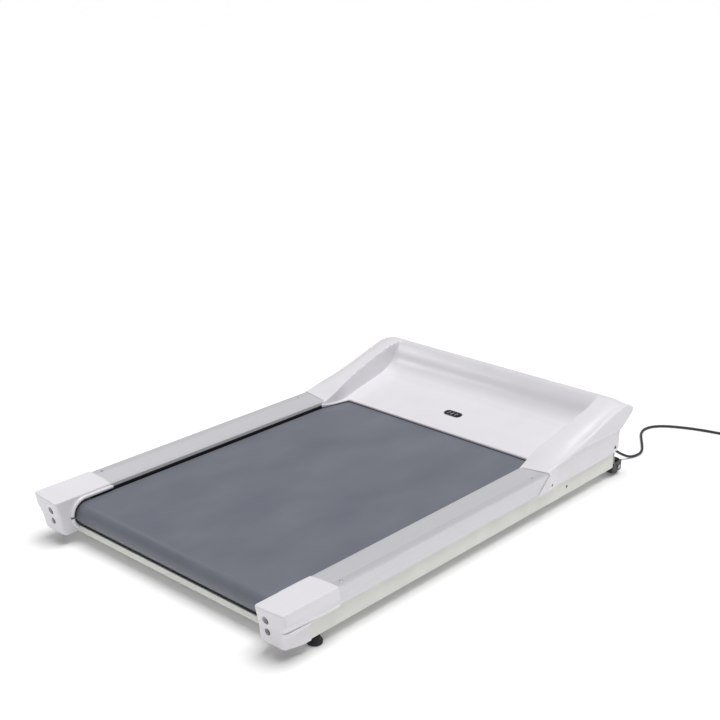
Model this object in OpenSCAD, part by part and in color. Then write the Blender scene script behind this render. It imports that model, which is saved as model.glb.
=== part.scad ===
// Flat walking treadmill: steel frame, aluminium side rails, grey belt, low front motor hood.
// X runs across the belt, Y towards the motor hood at the front, Z up. The floor is z = 0.

/* [Overall size] */
// Overall length, from the rear caps to the front of the hood
total_length = 1470; // [1400:10:1800]
// Width over the outer faces of the two side rails
rail_span = 946; // [930:2:1140]
// Height of the walking surface above the floor
walk_height = 110; // [104:1:132]
// Height of the hood's ridge above the floor
hood_height = 239; // [225:1:290]

/* [Side rails] */
// Width of each rail's top face
rail_width = 92; // [84:1:110]
// Wall of the rail extrusion
rail_wall = 3; // [2:0.5:4]
// Height of the rail's outer edge above the walking surface
rail_step = 25; // [22:1:32]
// Fall of the rail's top face towards the belt
rail_fall = 7; // [3:1:10]
// Depth of the rail's outer skirt
rail_skirt = 49; // [40:1:54]
// Width of the hollow foot that stands on the side tube
rail_foot_w = 16; // [12:1:20]

/* [Belt and rollers] */
// Gap between the belt's edge and each rail
belt_edge_gap = 5; // [3:0.5:10]
// Thickness of the walking belt
belt_thick = 2.5; // [1.6:0.1:3.2]
// Diameter of both rollers
drum_d = 60; // [50:1:72]
// Wall of the roller tubes
drum_wall = 3; // [2:0.5:5]
// Diameter of the roller axles
axle_d = 15; // [12:1:18]
// Outside diameter of the roller bearings
bearing_d = 35; // [32:1:42]
// Width of the roller bearings
bearing_w = 11; // [9:1:14]
// Diameter of the driven pulley on the front roller
driven_pulley_d = 78; // [70:1:80]
// Diameter of the motor's pulley
motor_pulley_d = 26; // [22:1:32]
// Width of both pulleys
pulley_w = 16; // [12:1:20]
// Thickness of the drive belt
drive_belt_thick = 3; // [2:0.5:4]

/* [Frame] */
// Height of the frame's underside above the floor
frame_clearance = 30; // [26:1:36]
// Width of a side tube
side_tube_w = 40; // [34:1:48]
// Height of a side tube
side_tube_h = 60; // [56:1:72]
// Wall of every steel tube
tube_wall = 2; // [1.5:0.5:3]
// Inset of the side tubes from the rails' outer faces
tube_inset = 9; // [6:1:12]
// Width of a cross tube
cross_tube_w = 40; // [30:1:48]
// Height of a cross tube
cross_tube_h = 26; // [20:1:28]
// Thickness of sheet-metal plates and brackets
plate = 4; // [3:0.5:5]
// Diameter of the accessory bolt hole in each side tube
accessory_hole_d = 8.5; // [6:0.5:11]

/* [Deck] */
// Thickness of the deck board
deck_thick = 19; // [16:1:25]
// Height of the rubber cushions below the deck
cushion_h = 8.5; // [6:0.5:12]
// Diameter of the rubber cushions
cushion_d = 30; // [24:1:36]

/* [Hood and caps] */
// Wall of the moulded shells
shell_wall = 2.5; // [2:0.5:3]
// Length of the hood, from its front to where its arms meet the rails
hood_length = 438; // [420:1:470]
// Length of the hood's dish, from its front to the lip above the belt
dish_length = 361; // [350:1:372]
// Rise of the dish floor from the lip to the crease
dish_rise = 33; // [20:1:44]
// Length of each rear cap
cap_length = 185; // [170:1:220]
// Length of the badge on the hood
badge_l = 66; // [50:1:80]
// Width of the badge on the hood
badge_w = 30; // [20:1:40]

/* [Motor] */
// Diameter of the motor can
motor_d = 84; // [70:1:90]
// Length of the motor can
motor_l = 130; // [100:1:150]
// Diameter of the motor shaft
shaft_d = 12; // [10:1:14]
// Diameter of the flywheel
flywheel_d = 74; // [60:1:80]

/* [Feet and wheels] */
// Diameter of a levelling foot's rubber pad
foot_pad_d = 40; // [32:1:48]
// Diameter of a levelling foot's stud
foot_stud_d = 10; // [8:1:12]
// Diameter of a front transport wheel
wheel_d = 50; // [44:1:60]
// Width of a front transport wheel
wheel_w = 24; // [18:1:28]
// Diameter of the wheel axles
wheel_axle_d = 8; // [6:1:10]

/* [Mains cord] */
// Diameter of the mains cord
cord_d = 8; // [7:0.5:8]

/* [Hidden] */
$fn = 64;

// Named clearances
RUN_GAP = 0.05;      // radial, a shaft that turns or slides in its hole
SEAT_GAP = 0.02;     // radial, a part that is pressed or clamped in its seat
BELT_GAP = 0.3;      // between a belt and what turns inside it
SHELL_GAP = 0.5;     // between a moulded shell and the metal that it covers
SCREW_GAP = 0.3;     // radial, a screw's shank in a plain hole

// Places along the length
y_rear = -total_length / 2;
y_front = total_length / 2;
rear_roll_y = y_rear + 94;
lip_y = y_front - dish_length;
front_roll_y = lip_y + 46;
crease_y = y_front - 178;
cap_end_y = y_rear + cap_length;
rail_y0 = cap_end_y - 15;
arm_y = y_front - hood_length;
rail_y1 = arm_y + 8;
tube_y0 = y_rear + 20;
tube_y1 = y_front - 80;
deck_y0 = rear_roll_y + 46;
deck_y1 = front_roll_y - 48;
cross_y = [deck_y0 + 95, (deck_y0 + deck_y1 + 43) / 2, deck_y1 - 52];
motor_y = y_front - 160;
tray_y0 = front_roll_y + 42;
tray_y1 = y_front - 70;
foot_y = y_rear + 132;
accessory_y = y_front - 327;
wheel_y = y_front - 45;

// Places across the width
rail_out = rail_span / 2;
rail_in = rail_out - rail_width;
tube_out = rail_out - tube_inset;
tube_in = tube_out - side_tube_w;
tube_mid = (tube_in + tube_out) / 2;
belt_half = rail_in - belt_edge_gap;
drum_half = belt_half + 3;
pulley_x0 = drum_half + 7;
pulley_x1 = pulley_x0 + pulley_w;
shell_out = rail_out + SHELL_GAP + shell_wall;
shell_in = shell_out - shell_wall;
cap_in = rail_in - SHELL_GAP - shell_wall;
cap_low_out = tube_out + SHELL_GAP + shell_wall;
take_up_x0 = tube_in - 24;
adjuster_x = tube_in - 12;

// Heights
tube_top = frame_clearance + side_tube_h;
rail_top = walk_height + rail_step;
run_r = drum_d / 2 + BELT_GAP;
roll_r = run_r + belt_thick;
roll_z = walk_height - roll_r;
deck_top = walk_height - belt_thick;
deck_bottom = deck_top - deck_thick;
cross_top = deck_bottom - cushion_h;
shell_base_z = tube_top - 8;
shell_top_z = rail_top + SHELL_GAP + shell_wall;
lip_z = walk_height + 8;
adjuster_z = roll_z - 9;
cap_screw_z = tube_top + 10;
motor_z = frame_clearance + 62;
tray_z = frame_clearance + 2;
tray_top = tray_z + 3;
tray_wall_z = shell_base_z + 18;
panel_z = frame_clearance + 26;

// Roller take-up
take_up_half = 24;
take_up_rise = 18;
adjuster_d = 8;

// Fasteners
case_screw_d = 5;
case_screw_head_d = 9;
rail_screw_d = 4.5;
rail_screw_head_d = 7.5;
rail_screw_x = tube_out - 8;
rail_screw_y = [rail_y0 + 40, rail_y1 - 60];
deck_screw_d = 6;
deck_screw_x = tube_in - 26;
cushion_x = [-deck_screw_x, -deck_screw_x / 3, deck_screw_x / 3, deck_screw_x];
hood_screw_at = [[y_front - 419, tube_top + 3], [y_front - 83, tube_top + 11]];

foot_nut_h = 8;

// Motor, counted back from the plane of its pulley
motor_x1 = pulley_x0 - 46;
motor_x0 = motor_x1 - motor_l;
bell_t = 12;
motor_bearing_d = 28;
motor_bearing_w = 8;
magnet_t = 7;
can_wall = 4;

// Mains panel, in the tray's front wall
gland_x = 392;
breaker_x = 346;
switch_x = 300;
switch_half_w = 13.4;
switch_half_h = 10.4;
rocker_half_w = 8.6;
rocker_pivot_y = tray_y1 - 3;
button_d = 6;
button_travel = 3;
gland_taper = 32;

// Mains cord: hand-chosen points on its centre line, from the gland to the storage coil
CORD_ROUTE = [
    [392, 700, 56], [393, 724, 54], [397, 747, 46], [405, 769, 33], [416, 790, 18], [427, 812, 7],
    [435, 838, 4], [436, 864, 4], [428, 890, 4], [413, 917, 4], [395, 945, 4], [376, 974, 4],
    [358, 1004, 4], [347, 1036, 4], [348, 1068, 4], [362, 1096, 4], [385, 1118, 4],
    [418, 1138, 4], [458, 1156, 4], [500, 1170, 4], [543, 1181, 4], [580, 1191, 5], [613, 1199, 5.2]];
// From the top of the coil to the plug
TAIL_ROUTE = [[648, 1245, 13.2], [648, 1255, 13.2], [648, 1265, 13.2], [648, 1275, 13.2]];
CORD_STEPS = 3;       // rings between two route points
CORD_SIDES = 8;
coil_at = [600, 1245];
coil_mean_r = 44;
coil_turns_wide = 2;
coil_turns_high = 2;
tie_t = 1.2;
tie_angle = 215;
plug_w = 27;
plug_h = 20;
plug_l = 34;

// ---- helpers ----

// A box from its low corner to its high corner
module span_box(low, high) {
    translate(low)
        cube(high - low);
}

// A cylinder along X between x0 and x1, on the axis y, z
module bar_x(d, x0, x1, y, z) {
    translate([x0, y, z])
        rotate([0, 90, 0])
            cylinder(d = d, h = x1 - x0);
}

// A cylinder along Y between y0 and y1, on the axis x, z; its far end may have another diameter
module bar_y(d, y0, y1, x, z, d_end = undef) {
    translate([x, y0, z])
        rotate([-90, 0, 0])
            cylinder(d1 = d, d2 = is_undef(d_end) ? d : d_end, h = y1 - y0);
}

// A cylinder along Z between z0 and z1; its top may have another diameter
module bar_z(d, z0, z1, x, y, d_top = undef) {
    translate([x, y, z0])
        cylinder(d1 = d, d2 = is_undef(d_top) ? d : d_top, h = z1 - z0);
}

// Extrudes a side view, drawn as (y, z), between x0 and x1
module extrude_x(x0, x1) {
    translate([x0, 0, 0])
        rotate([90, 0, 90])
            linear_extrude(x1 - x0)
                children();
}

// Extrudes a front view, drawn as (x, z), between y0 and y1
module extrude_y(y0, y1) {
    translate([0, y1, 0])
        rotate([90, 0, 0])
            linear_extrude(y1 - y0)
                children();
}

// Draws its children on the right, +X, or mirrored on the left
module on_side(side) {
    mirror([side == "left" ? 1 : 0, 0, 0])
        children();
}

// Draws its children on both sides
module both_sides() {
    for (side = ["left", "right"])
        on_side(side)
            children();
}

function unit(v) = v / norm(v);

// Unit normal that points out of an anticlockwise outline's edge from a to b
function out_normal(a, b) = let (d = b - a) [d[1], -d[0]] / norm(d);

// An anticlockwise outline moved out by d along every edge, or in when d is negative
function grown(points, d) = [
    for (i = [0 : len(points) - 1])
        let (n = len(points),
             here = points[i],
             n1 = out_normal(points[(i + n - 1) % n], here),
             n2 = out_normal(here, points[(i + 1) % n]))
            here + (n1 + n2) * d / (1 + n1 * n2)];

// ---- frame ----

module side_tube() {
    difference() {
        span_box([tube_in, tube_y0, frame_clearance], [tube_out, tube_y1, tube_top]);
        span_box([tube_in + tube_wall, tube_y0 - 1, frame_clearance + tube_wall],
                 [tube_out - tube_wall, tube_y1 + 1, tube_top - tube_wall]);
    }
}

// Plate across the tube's rear end; the adjuster bolt and the cap screw pass through it
module end_plate() {
    difference() {
        span_box([take_up_x0 - 5, tube_y0 - plate, adjuster_z - 18],
                 [tube_out, tube_y0, cap_screw_z + 12]);
        bar_y(adjuster_d + 2 * SCREW_GAP, tube_y0 - plate - 1, tube_y0 + 1, adjuster_x, adjuster_z);
        bar_y(case_screw_d + 2 * SCREW_GAP, tube_y0 - plate - 1, tube_y0 + 1, adjuster_x, cap_screw_z);
    }
}

// Threaded blocks on the tube's outer face that hold the hood's side screws
module hood_tabs() {
    for (at = hood_screw_at)
        difference() {
            span_box([tube_out, at[0] - 9.5, shell_base_z], [shell_in, at[0] + 9.5, at[1] + 9]);
            bar_x(case_screw_d + 2 * SEAT_GAP, tube_out - 1, shell_in + 1, at[0], at[1]);
        }
}

// Nut welded inside the tube for the levelling foot's stud
module foot_nut() {
    translate([tube_mid, foot_y, frame_clearance + tube_wall])
        cylinder(d = 1.7 * foot_stud_d / cos(30), h = foot_nut_h, $fn = 6);
}

module frame_side(side) {
    color("whitesmoke")
        on_side(side)
            difference() {
                union() {
                    side_tube();
                    end_plate();
                    hood_tabs();
                    foot_nut();
                }
                bar_z(foot_stud_d + 2 * RUN_GAP, frame_clearance - 1,
                      frame_clearance + tube_wall + foot_nut_h + 1, tube_mid, foot_y);
                bar_x(accessory_hole_d, tube_out - tube_wall - 1, tube_out + 1,
                      accessory_y, frame_clearance + 26);
                for (y = rail_screw_y)
                    bar_z(rail_screw_d + 2 * SCREW_GAP, tube_top - tube_wall - 1, tube_top + 1,
                          rail_screw_x, y);
            }
}

// Angle below the rear roller; its upright leg is the pale strip under the belt
module frame_rear_angle() {
    back = rear_roll_y - 0.82 * roll_r;
    top = roll_z - 0.9 * roll_r;
    color("whitesmoke")
        extrude_x(-tube_in, tube_in)
            polygon([[back, frame_clearance], [back + 38, frame_clearance],
                     [back + 38, frame_clearance + plate], [back + plate, frame_clearance + plate],
                     [back + plate, top], [back, top]]);
}

module cross_tube(y) {
    low = cross_top - cross_tube_h;
    color("whitesmoke")
        difference() {
            span_box([-tube_in, y - cross_tube_w / 2, low], [tube_in, y + cross_tube_w / 2, cross_top]);
            span_box([-tube_in - 1, y - cross_tube_w / 2 + tube_wall, low + tube_wall],
                     [tube_in + 1, y + cross_tube_w / 2 - tube_wall, cross_top - tube_wall]);
            for (x = [-deck_screw_x, deck_screw_x])
                bar_z(deck_screw_d + 2 * SCREW_GAP, cross_top - tube_wall - 1, cross_top + 1, x, y);
        }
}

// Pan under the motor and its controller; the front wall carries the mains panel
module motor_tray() {
    color("gainsboro")
        difference() {
            span_box([-tube_in, tray_y0, tray_z], [tube_in, tray_y1, tray_wall_z]);
            span_box([-tube_in + 3, tray_y0 - 1, tray_top], [tube_in - 3, tray_y1 - 3, tray_wall_z + 1]);
            for (side = [-1, 1])
                span_box([side * tube_in - 4, tray_y0 - 1, tray_top + 22],
                         [side * tube_in + 4, tray_y1 - 3, tray_wall_z + 1]);
            span_box([switch_x - switch_half_w, tray_y1 - 4, panel_z - switch_half_h],
                     [switch_x + switch_half_w, tray_y1 + 1, panel_z + switch_half_h]);
            bar_y(12 + 2 * SEAT_GAP, tray_y1 - 4, tray_y1 + 1, breaker_x, panel_z);
            bar_y(16 + 2 * SEAT_GAP, tray_y1 - 4, tray_y1 + 1, gland_x, panel_z);
            for (x = saddle_bolt_x, y = saddle_bolt_y)
                bar_z(6 + 2 * SCREW_GAP, tray_z - 1, tray_top + 1, x, y);
        }
}

// ---- deck ----

module deck_board() {
    color("saddlebrown")
        difference() {
            span_box([-tube_in + 6, deck_y0, deck_bottom], [tube_in - 6, deck_y1, deck_top]);
            for (x = [-deck_screw_x, deck_screw_x], y = cross_y) {
                bar_z(deck_screw_d + 2 * SCREW_GAP, deck_bottom - 1, deck_top + 1, x, y);
                bar_z(2 * deck_screw_d + 2 * SCREW_GAP, deck_top - 4, deck_top + 1, x, y);
            }
        }
}

module deck_cushions() {
    color("dimgray")
        for (y = cross_y, x = cushion_x)
            difference() {
                bar_z(cushion_d, cross_top, deck_bottom, x, y);
                if (abs(x) == deck_screw_x)
                    bar_z(deck_screw_d + 2 * SCREW_GAP, cross_top - 1, deck_bottom + 1, x, y);
            }
}

module deck_screws() {
    color("silver")
        for (x = [-deck_screw_x, deck_screw_x], y = cross_y) {
            bar_z(deck_screw_d, cross_top - 12, deck_top - 4, x, y);
            bar_z(2 * deck_screw_d, deck_top - 4, deck_top - 0.5, x, y);
        }
}

// ---- side rails ----

function rail_z(x) = rail_top - rail_fall * (rail_out - x) / rail_width;

module rail(side) {
    foot_in = tube_out - rail_foot_w;
    color("silver")
        on_side(side)
            difference() {
                extrude_y(rail_y0, rail_y1)
                    difference() {
                        polygon([
                            [rail_out, rail_top - rail_skirt], [rail_out, rail_top],
                            [rail_in, rail_z(rail_in)], [rail_in, rail_z(rail_in) - 10],
                            [rail_in + rail_wall, rail_z(rail_in) - 10],
                            [rail_in + rail_wall, rail_z(rail_in + rail_wall) - rail_wall],
                            [foot_in, rail_z(foot_in) - rail_wall], [foot_in, tube_top],
                            [tube_out, tube_top], [tube_out, rail_z(tube_out) - rail_wall],
                            [rail_out - rail_wall, rail_z(rail_out - rail_wall) - rail_wall],
                            [rail_out - rail_wall, rail_top - rail_skirt]]);
                        polygon([
                            [foot_in + rail_wall, tube_top + rail_wall],
                            [tube_out - rail_wall, tube_top + rail_wall],
                            [tube_out - rail_wall, rail_z(tube_out - rail_wall) - rail_wall],
                            [foot_in + rail_wall, rail_z(foot_in + rail_wall) - rail_wall]]);
                    }
                for (y = rail_screw_y)
                    bar_z(rail_screw_d + 2 * SCREW_GAP, tube_top - 1, rail_top + 1, rail_screw_x, y);
            }
}

// Black strips that close the gap between the deck and each rail's inner edge
module edge_strips() {
    color("black")
        both_sides()
            span_box([rail_in, rail_y0, deck_top], [rail_in + 5, deck_y1, rail_z(rail_in) - 10]);
}

module rail_screws() {
    seat_z = rail_z(rail_screw_x + rail_screw_head_d / 2);
    color("gray")
        both_sides()
            for (y = rail_screw_y) {
                bar_z(rail_screw_d, tube_top - 8, seat_z + 0.5, rail_screw_x, y);
                bar_z(rail_screw_head_d, seat_z, seat_z + 1.6, rail_screw_x, y);
            }
}

// ---- belt and rollers ----

// Side view of a closed run round two rollers of radius r
module run_outline(r) {
    for (y = [rear_roll_y, front_roll_y])
        translate([y, roll_z])
            circle(r = r);
    translate([rear_roll_y, roll_z - r])
        square([front_roll_y - rear_roll_y, 2 * r]);
}

module walking_belt() {
    color("slategray")
        extrude_x(-belt_half, belt_half)
            difference() {
                run_outline(roll_r);
                run_outline(run_r);
            }
}

module drum(y) {
    seat_x = drum_half - bearing_w;
    color("lightgray")
        difference() {
            bar_x(drum_d, -drum_half, drum_half, y, roll_z);
            bar_x(drum_d - 2 * drum_wall, -seat_x + 7, seat_x - 7, y, roll_z);
            bar_x(axle_d + 6, -drum_half - 1, drum_half + 1, y, roll_z);
            both_sides()
                bar_x(bearing_d + 2 * SEAT_GAP, seat_x, drum_half + 1, y, roll_z);
        }
}

module drum_bearings(y) {
    color("darkgray")
        both_sides()
            difference() {
                bar_x(bearing_d, drum_half - bearing_w, drum_half, y, roll_z);
                bar_x(axle_d + 2 * RUN_GAP, drum_half - bearing_w - 1, drum_half + 1, y, roll_z);
            }
}

module roller_axle(y) {
    color("silver")
        bar_x(axle_d, -tube_in + 4, tube_in - 4, y, roll_z);
}

// Blocks that carry the rear axle and slide along the side tubes
module take_up_blocks() {
    color("goldenrod")
        both_sides()
            difference() {
                span_box([take_up_x0, rear_roll_y - take_up_half, roll_z - take_up_rise],
                         [tube_in, rear_roll_y + take_up_half, roll_z + take_up_rise]);
                bar_x(axle_d + 2 * SEAT_GAP, take_up_x0 - 1, tube_in - 3.9, rear_roll_y, roll_z);
                bar_y(adjuster_d + 2 * SEAT_GAP, rear_roll_y - take_up_half - 1,
                      rear_roll_y - axle_d / 2 - 3, adjuster_x, adjuster_z);
            }
}

module adjuster_bolts() {
    color("gray")
        both_sides() {
            bar_y(adjuster_d, tube_y0 - plate, rear_roll_y - axle_d / 2 - 3.5, adjuster_x, adjuster_z);
            translate([adjuster_x, tube_y0 - plate - 5.5, adjuster_z])
                rotate([-90, 0, 0])
                    cylinder(d = 13 / cos(30), h = 5.5, $fn = 6);
        }
}

module front_axle_blocks() {
    color("gainsboro")
        both_sides()
            difference() {
                span_box([tube_in - 16, front_roll_y - 20, roll_z - 17],
                         [tube_in, front_roll_y + 20, roll_z + 17]);
                bar_x(axle_d + 2 * SEAT_GAP, tube_in - 17, tube_in - 3.9, front_roll_y, roll_z);
            }
}

module driven_pulley() {
    color("darkgray")
        difference() {
            union() {
                bar_x(driven_pulley_d, pulley_x0, pulley_x1, front_roll_y, roll_z);
                bar_x(32, drum_half, pulley_x1, front_roll_y, roll_z);
            }
            difference() {
                bar_x(driven_pulley_d - 10, pulley_x0 + 5, pulley_x1 + 1, front_roll_y, roll_z);
                bar_x(32, pulley_x0, pulley_x1 + 2, front_roll_y, roll_z);
            }
            bar_x(axle_d + 3, drum_half - 1, pulley_x1 + 1, front_roll_y, roll_z);
            for (turn = [0 : 60 : 300])
                bar_x(10, pulley_x0 - 1, pulley_x0 + 6,
                      front_roll_y + 25 * cos(turn), roll_z + 25 * sin(turn));
        }
}

// Points on an arc round c, from one angle to another in steps of about 5 degrees
function arc(c, r, from, to) = let (steps = ceil((to - from) / 5)) [
    for (i = [0 : steps])
        let (turn = from + (to - from) * i / steps) c + r * [cos(turn), sin(turn)]];

// Side view of a belt round the two pulleys, with its straight runs on their outer tangents
module drive_outline(extra) {
    driven = [front_roll_y, roll_z];
    motor = [motor_y, motor_z];
    reach = motor - driven;
    heading = atan2(reach[1], reach[0]);
    wrap = acos((driven_pulley_d - motor_pulley_d) / 2 / norm(reach));
    polygon(concat(
        arc(motor, motor_pulley_d / 2 + extra, heading - wrap, heading + wrap),
        arc(driven, driven_pulley_d / 2 + extra, heading + wrap, heading + 360 - wrap)));
}

module drive_belt() {
    color("black")
        extrude_x(pulley_x0 + 1, pulley_x1 - 1)
            difference() {
                drive_outline(BELT_GAP + drive_belt_thick);
                drive_outline(BELT_GAP);
            }
}

// ---- motor ----

saddle_x0 = motor_x0 + 20;
saddle_x1 = motor_x1 - 20;
saddle_bolt_x = [saddle_x0 + 10, saddle_x1 - 10];
saddle_bolt_y = [motor_y - 46, motor_y + 46];
saddle_top = tray_top + 4;

module motor_can() {
    color("dimgray")
        difference() {
            bar_x(motor_d, motor_x0, motor_x1, motor_y, motor_z);
            bar_x(motor_d - 2 * can_wall, motor_x0 - 1, motor_x1 + 1, motor_y, motor_z);
        }
}

// Two curved magnets glued inside the can
module motor_magnets() {
    bore = motor_d - 2 * can_wall;
    color("darkslategray")
        difference() {
            bar_x(bore - 2 * SEAT_GAP, motor_x0 + 12, motor_x1 - 12, motor_y, motor_z);
            bar_x(bore - 2 * magnet_t, motor_x0 + 11, motor_x1 - 11, motor_y, motor_z);
            span_box([motor_x0 + 11, motor_y - 9, motor_z - motor_d / 2],
                     [motor_x1 - 11, motor_y + 9, motor_z + motor_d / 2]);
        }
}

module motor_bell(x0, inward) {
    seat_x = inward > 0 ? x0 + bell_t - motor_bearing_w : x0;
    difference() {
        bar_x(motor_d, x0, x0 + bell_t, motor_y, motor_z);
        bar_x(motor_bearing_d + 2 * SEAT_GAP, seat_x - (inward > 0 ? 0 : 1),
              seat_x + motor_bearing_w + (inward > 0 ? 1 : 0), motor_y, motor_z);
        bar_x(shaft_d + 2, x0 - 1, x0 + bell_t + 1, motor_y, motor_z);
    }
}

module motor_bells() {
    color("gray") {
        motor_bell(motor_x0 - bell_t, 1);
        motor_bell(motor_x1, -1);
    }
}

module motor_bearings() {
    color("darkgray")
        for (x0 = [motor_x0 - motor_bearing_w, motor_x1])
            difference() {
                bar_x(motor_bearing_d, x0, x0 + motor_bearing_w, motor_y, motor_z);
                bar_x(shaft_d + 2 * RUN_GAP, x0 - 1, x0 + motor_bearing_w + 1, motor_y, motor_z);
            }
}

// Shaft with its wound armature and commutator
module motor_rotor() {
    armature_d = motor_d - 2 * can_wall - 2 * magnet_t - 3;
    color("peru") {
        bar_x(shaft_d, motor_x0 - bell_t - 6, pulley_x1 + 2, motor_y, motor_z);
        bar_x(armature_d, motor_x0 + 30, motor_x1 - 18, motor_y, motor_z);
        bar_x(30, motor_x0 + 10, motor_x0 + 28, motor_y, motor_z);
    }
}

module flywheel() {
    x0 = motor_x1 + bell_t + 6;
    color("dimgray")
        difference() {
            bar_x(flywheel_d, x0, x0 + 16, motor_y, motor_z);
            bar_x(flywheel_d - 14, x0 + 5, x0 + 17, motor_y, motor_z);
            bar_x(shaft_d + 2 * SEAT_GAP, x0 - 1, x0 + 17, motor_y, motor_z);
            for (turn = [0 : 60 : 300])
                bar_x(9, x0 - 1, x0 + 6, motor_y + 20 * cos(turn), motor_z + 20 * sin(turn));
        }
}

module motor_pulley() {
    color("darkgray")
        difference() {
            bar_x(motor_pulley_d, pulley_x0, pulley_x1, motor_y, motor_z);
            bar_x(shaft_d + 2 * SEAT_GAP, pulley_x0 - 1, pulley_x1 + 1, motor_y, motor_z);
        }
}

// Bracket that the motor can is strapped down on
module motor_saddle() {
    color("gainsboro")
        difference() {
            union() {
                span_box([saddle_x0, motor_y - 56, tray_top], [saddle_x1, motor_y + 56, saddle_top]);
                for (x = [saddle_x0 + 24, saddle_x1 - 28])
                    span_box([x, motor_y - 34, tray_top], [x + plate, motor_y + 34, motor_z - 18]);
            }
            bar_x(motor_d, saddle_x0 - 1, saddle_x1 + 1, motor_y, motor_z);
            for (x = saddle_bolt_x, y = saddle_bolt_y)
                bar_z(6 + 2 * SCREW_GAP, tray_top - 1, saddle_top + 1, x, y);
        }
}

module motor_bolts() {
    color("silver")
        for (x = saddle_bolt_x, y = saddle_bolt_y) {
            bar_z(6, tray_z, saddle_top, x, y);
            translate([x, y, saddle_top])
                cylinder(d = 10 / cos(30), h = 4, $fn = 6);
        }
}

// ---- electronics ----

board_x0 = -330;
board_x1 = -170;
board_y0 = tray_y0 + 30;
board_y1 = board_y0 + 105;
board_z = tray_top + 6;

// Circuit board on four posts, with its capacitors, relay and terminal row
module controller_board() {
    color("darkgreen")
        span_box([board_x0, board_y0, board_z], [board_x1, board_y1, board_z + 1.6]);
    color("silver")
        for (x = [board_x0 + 6, board_x1 - 6], y = [board_y0 + 6, board_y1 - 6])
            bar_z(6, tray_top, board_z, x, y);
    color("navy")
        for (x = [board_x0 + 28, board_x0 + 62])
            bar_z(25, board_z + 1.6, board_z + 42, x, board_y0 + 26);
    color("dimgray") {
        span_box([board_x1 - 50, board_y0 + 12, board_z + 1.6], [board_x1 - 22, board_y0 + 34, board_z + 20]);
        span_box([board_x0 + 20, board_y1 - 20, board_z + 1.6], [board_x1 - 20, board_y1 - 8, board_z + 14]);
    }
}

module heat_sink() {
    fin_pitch = 8;
    color("silver")
        difference() {
            span_box([board_x0, board_y1 + 4, tray_top], [board_x1, board_y1 + 36, tray_top + 44]);
            for (x = [board_x0 + 4 : fin_pitch : board_x1 - 8])
                span_box([x, board_y1 + 9, tray_top + 5], [x + 5, board_y1 + 37, tray_top + 45]);
        }
}

choke_x0 = -90;
choke_y0 = tray_y0 + 60;

// Iron-cored coil that smooths the motor current
module choke() {
    x0 = choke_x0;
    y0 = choke_y0;
    color("dimgray")
        difference() {
            span_box([x0, y0, tray_top], [x0 + 66, y0 + 40, tray_top + 56]);
            span_box([x0 + 12, y0 - 1, tray_top + 14], [x0 + 54, y0 + 41, tray_top + 44]);
        }
    color("sandybrown")
        span_box([x0 + 14, y0 - 8, tray_top + 14], [x0 + 52, y0 + 48, tray_top + 44]);
}

// A wire of round section along straight runs that meet at right angles, with round bends
module wire(points, d) {
    last = len(points) - 1;
    for (i = [0 : last - 1]) {
        run = points[i + 1] - points[i];
        along = unit(run);
        before = i > 0 ? d : 0;
        after = i < last - 1 ? d : 0;
        translate(points[i] + before * along)
            rotate([0, acos(along[2]), atan2(along[1], along[0])])
                cylinder(d = d, h = norm(run) - before - after, $fn = 32);
    }
    for (i = [1 : last - 1]) {
        y_axis = unit(points[i] - points[i - 1]);
        x_axis = unit(points[i] - points[i + 1]);
        z_axis = cross(x_axis, y_axis);
        centre = points[i] - (x_axis + y_axis) * d;
        multmatrix([for (k = [0 : 2]) [x_axis[k], y_axis[k], z_axis[k], centre[k]]])
            rotate_extrude(angle = 90, $fn = 32)
                translate([d, 0])
                    circle(d = d);
    }
}

// Leads from the mains panel to the board, and from the board through the choke to the motor
module wire_harness() {
    lead_d = 4;
    lead_z = tray_top + lead_d;
    mains_y = tray_y1 - 30;
    bend_x = motor_x0 - bell_t - 12;
    color("firebrick") {
        wire([[switch_x, tray_y1 - 25, panel_z], [switch_x, mains_y, panel_z],
              [switch_x, mains_y, lead_z], [board_x1 + 14, mains_y, lead_z],
              [board_x1 + 14, board_y1 - 14, lead_z], [board_x1 + 14, board_y1 - 14, board_z + 9],
              [board_x1 - 20, board_y1 - 14, board_z + 9]], lead_d);
        wire([[motor_x0 - bell_t, motor_y - 30, motor_z - 20], [bend_x, motor_y - 30, motor_z - 20],
              [bend_x, motor_y - 30, lead_z], [bend_x, choke_y0 - 17, lead_z],
              [choke_x0 + 33, choke_y0 - 17, lead_z], [choke_x0 + 33, choke_y0 - 17, tray_top + 25],
              [choke_x0 + 33, choke_y0 - 8, tray_top + 25]], lead_d);
    }
}

// ---- mains panel ----

module switch_body() {
    color("black")
        difference() {
            union() {
                span_box([switch_x - switch_half_w, tray_y1 - 25, panel_z - switch_half_h],
                         [switch_x + switch_half_w, tray_y1, panel_z + switch_half_h]);
                span_box([switch_x - switch_half_w - 2.5, tray_y1, panel_z - switch_half_h - 2.5],
                         [switch_x + switch_half_w + 2.5, tray_y1 + 2.5, panel_z + switch_half_h + 2.5]);
            }
            span_box([switch_x - rocker_half_w - 0.4, tray_y1 - 12, panel_z - 9.3],
                     [switch_x + rocker_half_w + 0.4, tray_y1 + 3, panel_z + 9.3]);
            bar_x(3 + 2 * RUN_GAP, switch_x - rocker_half_w - 2.5, switch_x + rocker_half_w + 2.5,
                  rocker_pivot_y, panel_z);
        }
}

// Rocker in its off position; it turns about its pin by twice rocker_tilt
rocker_tilt = 8;

module switch_rocker() {
    color("firebrick") {
        translate([0, rocker_pivot_y, panel_z])
            rotate([-rocker_tilt, 0, 0])
                extrude_x(switch_x - rocker_half_w, switch_x + rocker_half_w)
                    polygon([[-3, -4.5], [3, -8], [5.5, -8], [7, 0], [5.5, 8], [3, 8], [-3, 4.5]]);
        bar_x(3, switch_x - rocker_half_w - 2, switch_x + rocker_half_w + 2, rocker_pivot_y, panel_z);
    }
}

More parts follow.
